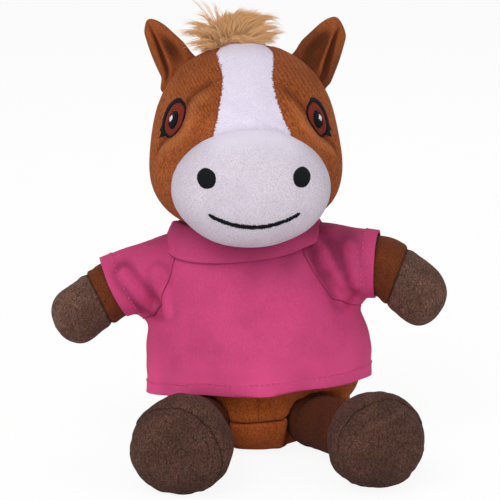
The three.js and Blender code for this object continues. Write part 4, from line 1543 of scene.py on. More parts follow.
@dataclass
class Muzzle:
    """Two embroidered nostrils and a stitched smile."""

    apart: float = 22.3
    nostril: tuple = (4.5, 4.9)
    nostril_height: float = 31.1
    smile_half: float = 21.5
    smile_height: float = 14.0
    smile_sag: float = 6.0
    thickness: float = 2.5
    points: int = 48

    def build(self, finishes: Finishes, ground: Ground) -> None:
        """Stitches the nostrils and the smile.

        Args:
            finishes: The toy's finishes.
            ground: The head's surface.
        """
        for side in Side:
            self.stitched(finishes, ground, f"nostril_{side.word}", *self.nostril_thread(side))
        self.stitched(finishes, ground, "mouth_stitching", *self.smile_thread())

    def nostril_thread(self, side: Side) -> tuple[Array, Array, Faces, Array]:
        """The thread of one nostril, in rings round its middle.

        Args:
            side: Its side.

        Returns:
            Its places in front of the head, how far each stands out, the faces and the satin mark.
        """
        angle = TURN * np.arange(self.points) / self.points
        width, height = self.nostril
        wobble = 1 + 0.012 * np.sin(angle * 5 + side.value) + 0.012 * np.sin(angle * 16)
        flat = np.stack([width * np.cos(angle), height * np.sin(angle)], axis=1) * wobble[:, None]
        shares = np.linspace(0.02, 1, 9)
        loops = np.concatenate([flat * share for share in shares])
        centre = np.array([side.value * self.apart, -90, self.nostril_height])
        start = centre + np.stack([loops[:, 0], 0 * loops[:, 0], loops[:, 1]], axis=1)
        rise = np.repeat(0.8 * (1 - shares**8) - 0.15, self.points)
        return start, rise, [tuple(range(self.points)), *strip_faces(len(shares), self.points)], loops[:, 1]

    def smile_thread(self) -> tuple[Array, Array, Faces, Array]:
        """The thread of the smile, in rows across it.

        Returns:
            Its places in front of the head, how far each stands out, the faces and the satin mark.
        """
        share = np.linspace(-1, 1, 150)
        across = np.linspace(-1, 1, 9)
        random = np.random.default_rng(12)
        ragged = 1 + 0.14 * np.sin(share * 150) + random.uniform(-0.28, 0.16, share.size)
        half = self.thickness / 2 * ragged * np.minimum(1, (1 - np.abs(share)) * 14 + 0.35)
        middle = self.smile_height - self.smile_sag * (1 - share**2) + random.uniform(-0.12, 0.12, share.size)
        start = np.stack([np.repeat(share * self.smile_half, 9), np.full(share.size * 9, -90.0),
                          (middle[:, None] + half[:, None] * across).ravel()], axis=1)
        rise = (0.75 * (1 - across**4) - 0.15)[None, :] + 0.12 * np.sin(share * 150)[:, None]
        return start, rise.ravel(), strip_faces(share.size, 9, closed=False), start[:, 0] + start[:, 2] * 0.5

    def stitched(self, finishes: Finishes, ground: Ground, name: str, start: Array, rise: Array, faces: Faces,
                 satin: Array) -> None:
        """Lays black thread on the head from the front.

        Args:
            finishes: The toy's finishes.
            ground: The head's surface.
            name: The node that it replaces.
            start: The thread's places in front of the head.
            rise: How far each stands out of the surface.
            faces: The faces.
            satin: Each point's place across the threads.
        """
        into = np.array([0.0, 1.0, 0.0])
        on = ground.hit(start, into) - into * rise[:, None]
        piece = finishes.dress(as_thread(f"face_{name}", HEAD.out(on), faces, satin), "black_thread")
        given(piece, "head", [name])


@dataclass
class Ear:
    """One ear of two layers, hollowed in front and folded along a pinched ridge."""

    side: Side
    base: float = 24.0
    length: float = 28.3
    tip: float = 7.0
    thickness: float = 6.4
    shoulder: float = 0.62
    azimuth: float = 43.0
    back: float = 3.0
    groove: float = -0.62
    drift: float = 0.6
    wider: dict[Side, tuple] = both((1.4, 2.6), (-3.2, -0.4))
    crown: dict[Side, float] = both(1.7, 1.2)
    # Painted shade on each ear's front, darkest at its base.
    dim: dict[Side, float] = both(0.55, 0.0)
    fabric: float = 1.2
    rows: int = 44
    columns: int = 40

    def placing(self, head: Head) -> Placing:
        """The ear's frame: X along its seam, Y out of the head, Z to the back, all in the head's frame.

        Args:
            head: The head that carries it.

        Returns:
            The frame.
        """
        azimuth = math.radians(self.azimuth)
        out = np.array([self.side.value * math.cos(azimuth), 0, math.sin(azimuth)])
        middle = np.array([[0, self.back, SKULL[2]]])
        reach = reach_of(head.lumps.distance, middle, out[None, :])[0]
        back = np.array([0.0, 1, 0])
        turn = np.stack([np.cross(out, back), out, back], axis=1)
        return Placing(tuple(middle[0] + out * reach), tuple(map(tuple, turn)))

    def sockets(self, head: Head) -> list[tuple[Array, float]]:
        """Balls along the seam that the head's fabric folds in round.

        Args:
            head: The head that carries it.

        Returns:
            The middle and radius of each.
        """
        along = np.linspace(-self.base / 2, self.base / 2, 9) * 0.97
        own = np.stack([along, np.zeros(9), np.zeros(9)], axis=1)
        return [(point, self.thickness / 2 + 0.3) for point in self.placing(head).out(own)]

    def edges(self, heights: Array) -> tuple[Array, Array]:
        """The crown-side and outer edges.

        Args:
            heights: Heights above the seam.

        Returns:
            Each edge's place at those heights.
        """
        inward = self.side.value
        inner, share = inward * self.base / 2, np.clip(heights / self.length, 0, 1)
        bend = np.clip((share - self.shoulder) / (1 - self.shoulder), 0, 1)
        crown = inner - inward * self.tip * 0.62 * (1 - np.sqrt(np.maximum(1 - bend**2, 0)))
        crown = crown + inward * self.crown[self.side] * step(0, 0.3, share)
        bow = inward * 1.4 * np.sin(math.pi * share)
        outer = -inner + inward * (self.base - self.tip) * share**0.92 - bow
        foot, top = self.wider[self.side]
        outer -= inward * (foot * (1 - share) * step(0, 0.15, share) + top * share)
        close = np.clip((share - 0.86) / 0.14, 0, 1)
        pull = 1 - np.sqrt(np.maximum(1 - close**2, 0))
        return crown, outer + (crown - outer) * pull * 0.94

    def pad_faces(self) -> list[tuple[int, ...]]:
        """The faces of a closed pad with an upper and a lower sheet.

        Returns:
            The faces.
        """
        rows, columns, last = self.rows, self.columns, self.columns - 1

        def at(row: int, column: int, low: bool) -> int:
            """The number of a point."""
            return low * rows * columns + row * columns + column

        faces = []
        for r in range(rows - 1):
            for c in range(last):
                faces.append((at(r, c, 0), at(r, c + 1, 0), at(r + 1, c + 1, 0), at(r + 1, c, 0)))
                faces.append((at(r, c, 1), at(r + 1, c, 1), at(r + 1, c + 1, 1), at(r, c + 1, 1)))
        top = rows - 1
        for c in range(last):
            faces.append((at(0, c + 1, 0), at(0, c, 0), at(0, c, 1), at(0, c + 1, 1)))
            faces.append((at(top, c, 0), at(top, c + 1, 0), at(top, c + 1, 1), at(top, c, 1)))
        for r in range(rows - 1):
            faces.append((at(r, 0, 0), at(r + 1, 0, 0), at(r + 1, 0, 1), at(r, 0, 1)))
            faces.append((at(r + 1, last, 0), at(r, last, 0), at(r, last, 1), at(r + 1, last, 1)))
        return faces

    def layer(self, front: bool) -> Sewn:
        """One layer of the ear, as a closed pad, in the ear's frame.

        Args:
            front: Whether it is the one in front.

        Returns:
            The layer.
        """
        heights = np.linspace(-self.thickness / 2, self.length, self.rows)
        crown, outer = self.edges(np.maximum(heights, 0))
        across = np.cos(np.linspace(0, math.pi, self.columns))
        grid_x = (crown + outer)[:, None] / 2 + (crown - outer)[:, None] / 2 * across
        grid_y = np.repeat(heights[:, None], self.columns, axis=1)
        root = np.sqrt(np.clip(1 - (np.minimum(grid_y, 0) / (self.thickness / 2)) ** 2, 0, 1))
        rise = np.clip(grid_y / self.length, 0, 1)
        full = self.thickness / 2 * np.sqrt((1 - across[None, :] ** 4) * np.clip(1 - rise**3, 0, 1)) * root
        shape = np.sin(math.pi * rise**0.75) * (grid_y > 0)

        def band(place: float, width: float, drift: float = self.drift) -> Array:
            """One where the ear is creased along its length, and nothing further off."""
            return bell(across[None, :] - place - drift * rise, 0, width) * shape

        hollow = band(0.26, 0.34, 0.0) * step(0.95, 0.3, rise)
        face = -full + 4.6 * band(self.groove, 0.13) + 4.4 * hollow
        face -= 1.5 * band(self.groove + 0.2, 0.11) + 0.9 * band(self.groove - 0.24, 0.12)
        between = np.maximum(0, face + self.fabric * root)
        if front:
            upper, lower = face, between
        else:
            upper, lower = np.maximum(full, between + self.fabric * root), between
        sheets = [np.stack([grid_x, grid_y, sheet], axis=-1).reshape(-1, 3) for sheet in (upper, lower)]
        points, triangles = np.concatenate(sheets), triangles_of(self.pad_faces())
        crease = np.abs(across[None, :] - self.groove - self.drift * rise) * self.base / 3
        rim = np.repeat(1 - np.abs(across)[None, :], self.rows, axis=0) * self.base / 2
        seam = np.minimum(crease if front else 9, rim)
        dim = self.dim[self.side]
        # Painted highlight on the pinched ridge, and painted shade in the groove, in the hollow and towards
        # the base.
        worn = 1.1 * band(self.groove + 0.2, 0.1) - 1.6 * band(self.groove, 0.13) - (1.1 + dim) * hollow
        worn -= dim * step(1.0, 0.4, rise)
        marks = {"seam": np.tile(seam.ravel(), 2), "worn": np.tile(worn.ravel(), 2) * front}
        return Sewn(points, triangles, outward(points, triangles), marks)

    def build(self, finishes: Finishes, head: Head) -> None:
        """Makes both layers.

        Args:
            finishes: The toy's finishes.
            head: The head that carries the ear.
        """
        placing = self.placing(head)
        for name, front, finish in (("ear_front", True, "ear_pile"), ("ear_back", False, "brown_pile")):
            layer = self.layer(front)
            points = HEAD.out(placing.out(layer.points))
            marks = {"seam": layer.marks["seam"] + 0.4, "worn": layer.marks["worn"]}
            piece = new_piece(f"folded_{name}_{self.side.word}", points, layer.faces, marks)
            with_modifier(turned_outwards(piece, merged=0.02), "SMOOTH", factor=0.5, iterations=3)
            finishes.dress(piece, "dark_brown_pile" if front else "brown_pile", finish)
            given(piece, f"{self.side.word}_ear", [f"{name}_{self.side.word}"])


@dataclass(frozen=True)
class Lock:
    """Some strands of hair that run together from a root to a tip."""

    root: tuple
    tip: tuple
    count: int
    spread: float = 3.0
    arch: float = 4.0
    width: float = 0.3

    def paths(self, random: np.random.Generator, steps: int = 9) -> Array:
        """The strands' points.

        Args:
            random: Where their chance comes from.
            steps: How many points a strand has.

        Returns:
            The points, one row a strand.
        """
        span = np.array(self.tip) - np.array(self.root)
        bow = np.array(self.root) + span * (0.35, 0.5, 0.85) + np.array([0, 0, self.arch])
        t = np.linspace(0, 1, steps)[None, :, None] * random.uniform(0.7, 1.04, (self.count, 1, 1))
        guide = np.array(self.root) * (1 - t) ** 2 + 2 * bow * t * (1 - t) + np.array(self.tip) * t**2
        spread = random.normal(size=(self.count, 1, 3)) * self.spread * (0.5, 0.5, 0.35)
        bundle = np.interp(t, [0, 0.45, 1.05], [0.9, 1.0, 0.42])
        swing = random.uniform(0, TURN, (1, 1, 3)) + random.normal(size=(self.count, 1, 3)) * 0.5
        curl = np.sin(t * 5.5 + swing) * t * (0.9, 0.7, 0.8)
        return guide + spread * bundle + curl + random.normal(size=(self.count, 1, 3)) * t**2 * 0.7


def hair_piece(name: str, paths: Sequence[Array], widths: Sequence[float], seed: int) -> Piece:
    """Strands of hair as one piece.

    Args:
        name: The piece's name.
        paths: Rows of points in the toy's frame, a group for each lock.
        widths: The strands' width in each group.
        seed: The colours' own number.

    Returns:
        The piece.
    """
    random = np.random.default_rng(seed)
    lines = np.concatenate(paths)
    width = np.concatenate([np.full(len(group), w) for group, w in zip(paths, widths)])
    count, steps, _ = lines.shape
    runs = unit(np.gradient(lines, axis=1))
    across = unit(np.cross(runs, random.normal(size=(count, 1, 3))))
    other = np.cross(runs, across)
    taper = np.interp(np.linspace(0, 1, steps), [0, 0.15, 0.7, 1], [0.7, 1, 0.8, 0.12])
    corners = []
    for corner in range(3):
        angle = TURN * corner / 3
        way = across * math.cos(angle) + other * math.sin(angle)
        corners.append(lines + way * (width[:, None] / 2 * taper)[..., None])
    points = np.stack(corners, axis=2).reshape(-1, 3)
    faces = []
    for strand in range(count):
        first = strand * steps * 3
        faces.append((first + 2, first + 1, first))
        for s in range(steps - 1):
            a = first + 3 * s
            faces += [(a + c, a + (c + 1) % 3, a + 3 + (c + 1) % 3, a + 3 + c) for c in range(3)]
        end = first + 3 * (steps - 1)
        faces.append((end, end + 1, end + 2))
    along = np.tile(np.repeat(np.linspace(0, 1, steps), 3), count)
    tone = np.repeat(random.uniform(0, 1, count), steps * 3)
    return new_piece(name, points, faces, {"along": along, "tone": tone})


@dataclass
class Forelock:
    """The swept tuft between the ears."""

    locks: tuple[Lock, ...] = (
        Lock((-13, -1, 85), (-33.5, -6, 92), 70, 2.6, 5),
        Lock((-13, -3, 85), (-29.5, -10, 86.5), 80, 2.4, 5),
        Lock((-12, -3, 85), (-26, -12, 84), 60, 2.2, 4),
        Lock((-12, -1, 86), (-30, -4, 97), 34, 1.8, 3, 0.28),
        Lock((-11, -1, 87), (-26, -3, 102), 18, 1.4, 2, 0.26),
        Lock((-10, -1, 88), (-31, -3, 109), 5, 0.8, 0, 0.22),
        Lock((-10, -1, 88), (-24, -3, 108), 6, 0.9, 0, 0.22),
        Lock((-10, -1, 88), (-16.5, -3, 106.5), 16, 1.3, 0, 0.26),
        Lock((-12, -3, 86), (-21, -9, 93), 90, 3.0, 4),
        Lock((-12, -3, 86), (-18, -8, 97), 80, 3.0, 3),
        Lock((-9, -2, 86), (-12, -6, 99), 90, 3.2, 2),
        Lock((-8, -1, 86), (-5, -4, 101), 80, 3.0, 2),
        Lock((-7, -1, 86), (0, -4, 102.2), 90, 2.8, 1.5),
        Lock((-6, -1, 86), (6, -4, 101.8), 90, 2.8, 2.5),
        Lock((-5, -1, 86), (11.5, -5, 99.8), 90, 2.8, 3.5),
        Lock((-3, -1, 86), (16, -6, 98.5), 90, 2.8, 5),
        Lock((-1, -2, 86), (17, -8, 93.5), 80, 2.6, 5),
        Lock((0, -3, 86), (14, -8, 86.5), 90, 2.2, 5),
        Lock((-3, -4, 86), (6.5, -9, 86.5), 90, 2.2, 5),
        Lock((-7, -4, 86), (-1, -9, 87.5), 80, 2.2, 5),
        Lock((-10, -4, 86), (-11, -9, 86.5), 70, 2.2, 5),
        Lock((-12, -3, 85), (-22, -8, 83), 70, 2.0, 4),
        Lock((-9, -2, 87), (-13, -5, 100), 90, 2.8, 1),
        Lock((-8, 0, 87), (-9, -3, 101.5), 80, 2.6, 1),
        Lock((-4, -1, 86), (9, -5, 100.8), 80, 2.4, 3),
        Lock((-13, 5, 84), (-25, 8, 94), 70, 3.2, 4),
        Lock((-6, 6, 85), (1, 9, 100), 80, 3.4, 4),
        Lock((2, 5, 85), (13, 7, 95), 70, 3.2, 4),
        Lock((0, -2, 86), (18.5, -8, 92), 90, 2.0, 1.5),
        Lock((-2, -3, 86), (15.5, -9, 89), 90, 2.0, 1.5),
        Lock((3, 5, 84.5), (10, 14, 83.5), 80, 2.2, 2.5),
        Lock((6, 3, 84), (13.5, 11, 82.5), 80, 2.2, 2.0),
        Lock((-4, 6, 85), (-1, 16, 83.5), 80, 2.4, 2.5),
        Lock((-11, 5, 84.5), (-15, 14, 83), 80, 2.2, 2.5),
    )
    lifted: float = 0.8
    seed: int = 21

    def build(self, finishes: Finishes) -> None:
        """Makes the tuft.

        Args:
            finishes: The toy's finishes.
        """
        random = np.random.default_rng(self.seed)
        paths = [HEAD.out(lock.paths(random) + (0, 0, self.lifted)) for lock in self.locks]
        piece = hair_piece("hair_forelock", paths, [lock.width for lock in self.locks], 22)
        given(finishes.dress(piece, "tan_hair"), "head", ["forelock"])


@dataclass
class Mane:
    """Hair that lies down the middle of the head's back."""

    top: float = 84.0
    foot: float = 26.0
    rows: int = 22
    strands: int = 34
    half_width: float = 6.5
    length: float = 20.0
    skull: float = 42.0
    stand: float = 4.6
    seed: int = 31

    def build(self, finishes: Finishes, head: Head) -> None:
        """Makes the mane.

        Args:
            finishes: The toy's finishes.
            head: The head that it lies on.
        """
        random = np.random.default_rng(self.seed)
        middle, paths = np.array(SKULL), []
        t = np.linspace(0, 1, 8)
        for angle in np.radians(np.linspace(74, -14, self.rows)):
            across = random.uniform(-self.half_width, self.half_width, self.strands)
            share = random.uniform(0.75, 1.1, (self.strands, 1))
            bend = angle - t[None, :] * self.length / self.skull * share
            sideways = np.sin(across / self.skull)[:, None] + 0 * bend
            flat = unit(np.stack([sideways, np.cos(bend), np.sin(bend)], axis=-1)).reshape(-1, 3)
            reach = reach_of(head.lumps.distance, np.broadcast_to(middle, flat.shape), flat)
            high = random.uniform(0.35, 1.0, (self.strands, 1))
            lift = (0.2 + self.stand * np.sin(np.minimum(t * 1.25, 1) * math.pi * 0.5) * high).ravel()
            points = (middle + flat * (reach + lift)[:, None]).reshape(self.strands, 8, 3)
            points[..., 0] += np.sin(t * 3 + random.uniform(0, TURN, (self.strands, 1))) * t * 1.2
            paths.append(HEAD.out(points.reshape(-1, 3)).reshape(points.shape))
        piece = hair_piece("hair_mane", paths, [0.34] * len(paths), 32)
        given(finishes.dress(piece, "tan_hair"), "head", ["mane"])


@dataclass
class Tail:
    """A hanging bundle of hair sewn into the back."""

    root_height: float = 18.0
    length: float = 40.0
    radius: float = 6.6
    socket: float = 5.3
    droop: float = 24.0
    strands: int = 420
    seed: int = 41

    def placing(self, torso: Torso) -> Placing:
        """The tail's frame, with Y along it.

        Args:
            torso: The body that it hangs on.

        Returns:
            The frame.
        """
        origin = np.array([[0, 0, self.root_height]])
        reach = reach_of(torso.distance, origin, np.array([[0.0, 1, 0]]))[0]
        droop = math.radians(self.droop)
        return Placing.along((0, float(reach), self.root_height), (0, math.cos(droop), -math.sin(droop)))

    def build(self, finishes: Finishes, torso: Torso) -> None:
        """Makes the bundle.

        Args:
            finishes: The toy's finishes.
            torso: The body that it hangs on.
        """
        random = np.random.default_rng(self.seed)
        t = np.linspace(0, 1, 10)
        shape = np.interp(t, [0, 0.1, 0.3, 0.6, 0.9, 1], [0.55, 0.75, 1, 0.9, 0.45, 0.2])
        angle = random.uniform(0, TURN, (self.strands, 1))
        share = np.sqrt(random.uniform(0, 1, (self.strands, 1)))
        twist = angle + t * random.uniform(-0.5, 0.9, (self.strands, 1))
        reach = share * shape * self.radius
        run = -3 + t * (self.length + 2) * random.uniform(0.82, 1.02, (self.strands, 1))
        points = np.stack([reach * np.cos(twist), run, reach * np.sin(twist)], axis=-1)
        paths = self.placing(torso).out(points.reshape(-1, 3)).reshape(points.shape)
        paths[..., 2] = np.maximum(paths[..., 2], 0.5)
        piece = hair_piece("hair_tail", [paths], [0.42], 42)
        given(finishes.dress(piece, "tan_hair"), "tail", ["tail"])


@dataclass
class Limb:
    """A stuffed limb: a sleeve of brown fabric that ends in a hoof.

    Its parts lie between its seams in order, each with its name, its slot and its own finish, if it has one.
    """

    side: Side
    profile: tuple
    seams: dict[str, float]
    parts: tuple
    socket: float
    rings: int = 40
    sectors: int = 44

    def placing(self) -> Placing:
        """The limb's frame, with Y along it."""
        raise NotImplementedError

    def shape(self, own: Array) -> Array:
        """How the limb's own places differ from plain rings."""
        return own

    def form(self, name: str) -> Form:
        """The closed form before it is stuffed, in the toy's frame.

        Args:
            name: Its name.

        Returns:
            The form.
        """
        line = smooth_line(as_array(self.profile), self.rings + 2)
        own = tube(line[1:-1, 0], np.maximum(line[1:-1, 1], 0), self.sectors, line[[0, -1], 0])
        points = self.placing().out(self.shape(own))
        points[:, 2] = np.maximum(points[:, 2], 0)
        marks = {"run": own[:, 1].copy(), "turn": np.arctan2(own[:, 2], own[:, 0])}
        held = (own[:, 1] < 2) | (points[:, 2] < 1)
        for place in self.seams.values():
            held |= np.abs(own[:, 1] - place) < 1.2
        return Form(name, points, ring_faces(self.rings, self.sectors), marks, held,
                    Filling(pressure=2.5, spare=0.03, most=1.0))

    def mark(self, whole: Sewn) -> None:
        """Gives the fabric its distances from the seams."""
        for name, place in self.seams.items():
            whole.marks[name] = whole.marks["run"] - place

    def relief(self, fabric: Sewn) -> Array:
        """The heights of seams, puckers and soft lumps, with crushed pile by the seams that takes painted
        light where it rises and painted shade where it sinks.

        Args:
            fabric: Some of the limb's fabric.

        Returns:
            One height a point.
        """
        turn = fabric.marks["turn"]
        heights = 0.3 * ripple(fabric.points, 17, 51 + self.side.value)
        fabric.marks["worn"] = np.zeros(len(fabric.points))
        for name in self.seams:
            seam = fabric.marks[name]
            heights -= 1.1 * fading(seam, 0.85)
            heights += 0.28 * fading(seam, 2.6) * np.sin(turn * 17 + 2 * np.sin(turn * 5))
            crushed = fading(seam, 5) * ripple(fabric.points, 4.0, 52, 11)
            # Crushed pile, with painted light on its rises and painted shade in its dips.
            fabric.marks["worn"] += 0.5 * crushed
            heights += 0.25 * crushed
        return heights * step(0, 1.0, fabric.points[:, 2])

    def build(self, finishes: Finishes) -> None:
        """Cuts, thickens and dresses the limb's parts.

        Args:
            finishes: The toy's finishes.
        """
        word, kind = self.side.word, self.parts[0][0]
        rest = self.form(f"{kind}_{word}_form").sewn()
        self.mark(rest)
        panels = []
        for seam in self.seams:
            rest, above = rest.split(rest.marks[seam])
            panels.append(above)
        panels.append(rest)
        for (name, slot, finish), fabric in zip(self.parts, panels):
            raised = fabric.raised(self.relief(fabric))
            raised.points[:, 2] = np.maximum(raised.points[:, 2], 0)
            seam = np.min([np.abs(fabric.marks[mark]) for mark in self.seams], axis=0)
            piece = finishes.dress(panel(f"stuffed_{name}_{word}", raised, seam), slot, finish)
            inside = [f"{kind}_stuffing_{word}"] if name == kind else []
            given(piece, f"{word}_{kind}", [f"{name}_{word}", *inside])


@dataclass
class Arm(Limb):
    """An arm that ends in a round hoof."""

    profile: tuple = ((-12, 0), (-11, 4.6), (-7, 9.6), (0, 12), (12, 12.6), (25, 14), (36, 14.1), (43, 14.3),
                      (50, 14.8), (56, 13.9), (60.5, 11.2), (63.8, 6.6), (65, 0))
    seams: dict[str, float] = field(default_factory=lambda: {"hoof": 39.0})
    parts: tuple = (("arm", "dark_brown_pile", None), ("arm_hoof", "hoof_pile", None))
    socket: float = 12.6
    shoulders: tuple = (-7 * 91 / 108, -3, 91)
    reach: float = 40 * 0.96
    tilt: float = 4.5
    forward: float = 9.0
    droop: dict[Side, float] = both(20.0, 26.0)
    arch: dict[Side, tuple] = both((4.6, -1.8), (2.2, -1.2))
    fullness: dict[Side, tuple] = both((0.08, 0.0), (0.0, -0.055))

    def placing(self) -> Placing:
        """The arm's frame at the shoulder.

        Returns:
            The frame.
        """
        sign = self.side.value
        droop, forward, tilt = (math.radians(a) for a in (self.droop[self.side], self.forward, self.tilt))
        x, y, z = self.shoulders
        origin = (x + sign * self.reach * math.cos(tilt), y, z + sign * self.reach * math.sin(tilt))
        out, down = sign * math.cos(droop) * math.cos(forward), -math.sin(droop) * math.cos(forward)
        return Placing.along(origin, (out, -math.sin(forward), down))

    def shape(self, own: Array) -> Array:
        """Arches the arm a little and squares its hoof.

        Args:
            own: Places on plain rings.

        Returns:
            The arm's places.
        """
        run = own[:, 1]
        bent = own.copy()
        rise, tip = self.arch[self.side]
        bent[:, 0] += rise * np.sin(math.pi * np.clip(run / 58, 0, 1)) ** 2 + tip * step(32, 62, run)
        blunt = step(44, 60, run)
        wrist, hoof = self.fullness[self.side]
        fuller = 1 + wrist * bell(run, 36, 13) + hoof * step(36, 50, run)
        bent[:, 0] = own[:, 0] * (fuller + 0.04 * blunt) + bent[:, 0] - own[:, 0]
        bent[:, 1] = run + 12 * hoof * blunt
        bent[:, 2] *= fuller - 0.05 * blunt
        return bent


@dataclass
class Leg(Limb):
    """A leg that ends in a broad foot with a flat sole."""

    profile: tuple = ((-13.5, 0), (-12.4, 5.2), (-8, 10.8), (0, 13.5), (11, 13.2), (30, 13.2), (44, 13.6),
                      (48.5, 16.8), (52, 20.2), (58, 22.4), (64, 23.2), (69, 23), (72, 21.2), (76, 17.5),
                      (79, 13.2), (80.6, 7), (81, 0))
    seams: dict[str, float] = field(default_factory=lambda: {"wall": 47.0, "sole": 69.0})
    parts: tuple = (("leg", "dark_brown_pile", "leg_pile"), ("foot_wall", "hoof_pile", "foot_pile"),
                    ("foot_sole", "hoof_pile", "foot_pile"))
    socket: float = 14.2
    sole_slope: dict[Side, tuple] = both((0.1, 0.14), (0.26, 0.2))
    ridge: tuple = ((8.9, 76.3, -14.7), (11.8, 77.7, -10), (13.2, 78.9, -3.6), (15.2, 77.9, 2), (16.8, 75, 7))
    squat: dict[Side, float] = both(0.93, 1.0)
    splay: dict[Side, float] = both(28.0, 10.0)
    aside: dict[Side, float] = both(-0.6, 1.6)
    hip: tuple = (48.5 * 0.54, -2 - 42 * 0.62)
    foot_radius: float = 23.0
    rise: float = 5.5
    rings: int = 52
    sectors: int = 56

    def placing(self) -> Placing:
        """The leg's frame at the hip, with the foot on the floor.

        Returns:
            The frame.
        """
        sign = self.side.value
        splay, rise = math.radians(self.splay[self.side]), math.radians(self.rise)
        height = self.foot_radius * math.cos(rise) - self.seams["sole"] * math.sin(rise) - 0.5
        return Placing.along((sign * self.hip[0], self.hip[1], height),
                             (sign * math.sin(splay), -math.cos(splay), math.tan(rise)))

    def shape(self, own: Array) -> Array:
        """Makes the foot less than a true round.

        Args:
            own: Places on plain rings.

        Returns:
            The leg's places.
        """
        foot = step(50, 62, own[:, 1])
        azimuth = np.arctan2(own[:, 2], own[:, 0])
        lumpy = 1 + foot * (0.022 * np.sin(2 * azimuth + 0.7 * self.side.value)
                            + 0.016 * np.sin(3 * azimuth + 1.3) + 0.01 * np.sin(5 * azimuth))
        bent = own.copy()
        bent[:, 0] *= lumpy * (1 - foot + foot * self.squat[self.side])
        bent[:, 2] = bent[:, 2] * lumpy + self.aside[self.side] * foot
        return bent

    def mark(self, whole: Sewn) -> None:
        """Gives the fabric its distances from the seams, with the sole's seam tilted.

        Args:
            whole: The leg's fabric.
        """
        super().mark(whole)
        own, tilt = self.placing().back(whole.points), self.sole_slope[self.side]
        whole.marks["sole"] = whole.marks["sole"] - tilt[0] * own[:, 0] - tilt[1] * own[:, 2]

    def relief(self, fabric: Sewn) -> Array:
        """The limb's heights, with more lumps on the foot and a ridge on the left foot's sole.

        Args:
            fabric: Some of the leg's fabric.

        Returns:
            One height a point.
        """
        heights = super().relief(fabric)
        lumps = 0.5 * ripple(fabric.points, 11, 55) * step(52, 62, fabric.marks["run"])
        if self.side is Side.LEFT:
            own = self.placing().back(fabric.points) * (1 / self.squat[self.side], 1, 1)
            near = line_distance(own, smooth_line(as_array(self.ridge), 16))
            ridge = 1.3 * bell(near, 0, 2.0) - 0.5 * bell(near, 4.0, 2.0)
            # Painted highlight on the sole's ridge and painted shade beside it.
            fabric.marks["worn"] += 0.45 * ridge
            lumps += ridge
        return heights + lumps * step(0, 1.5, fabric.points[:, 2])


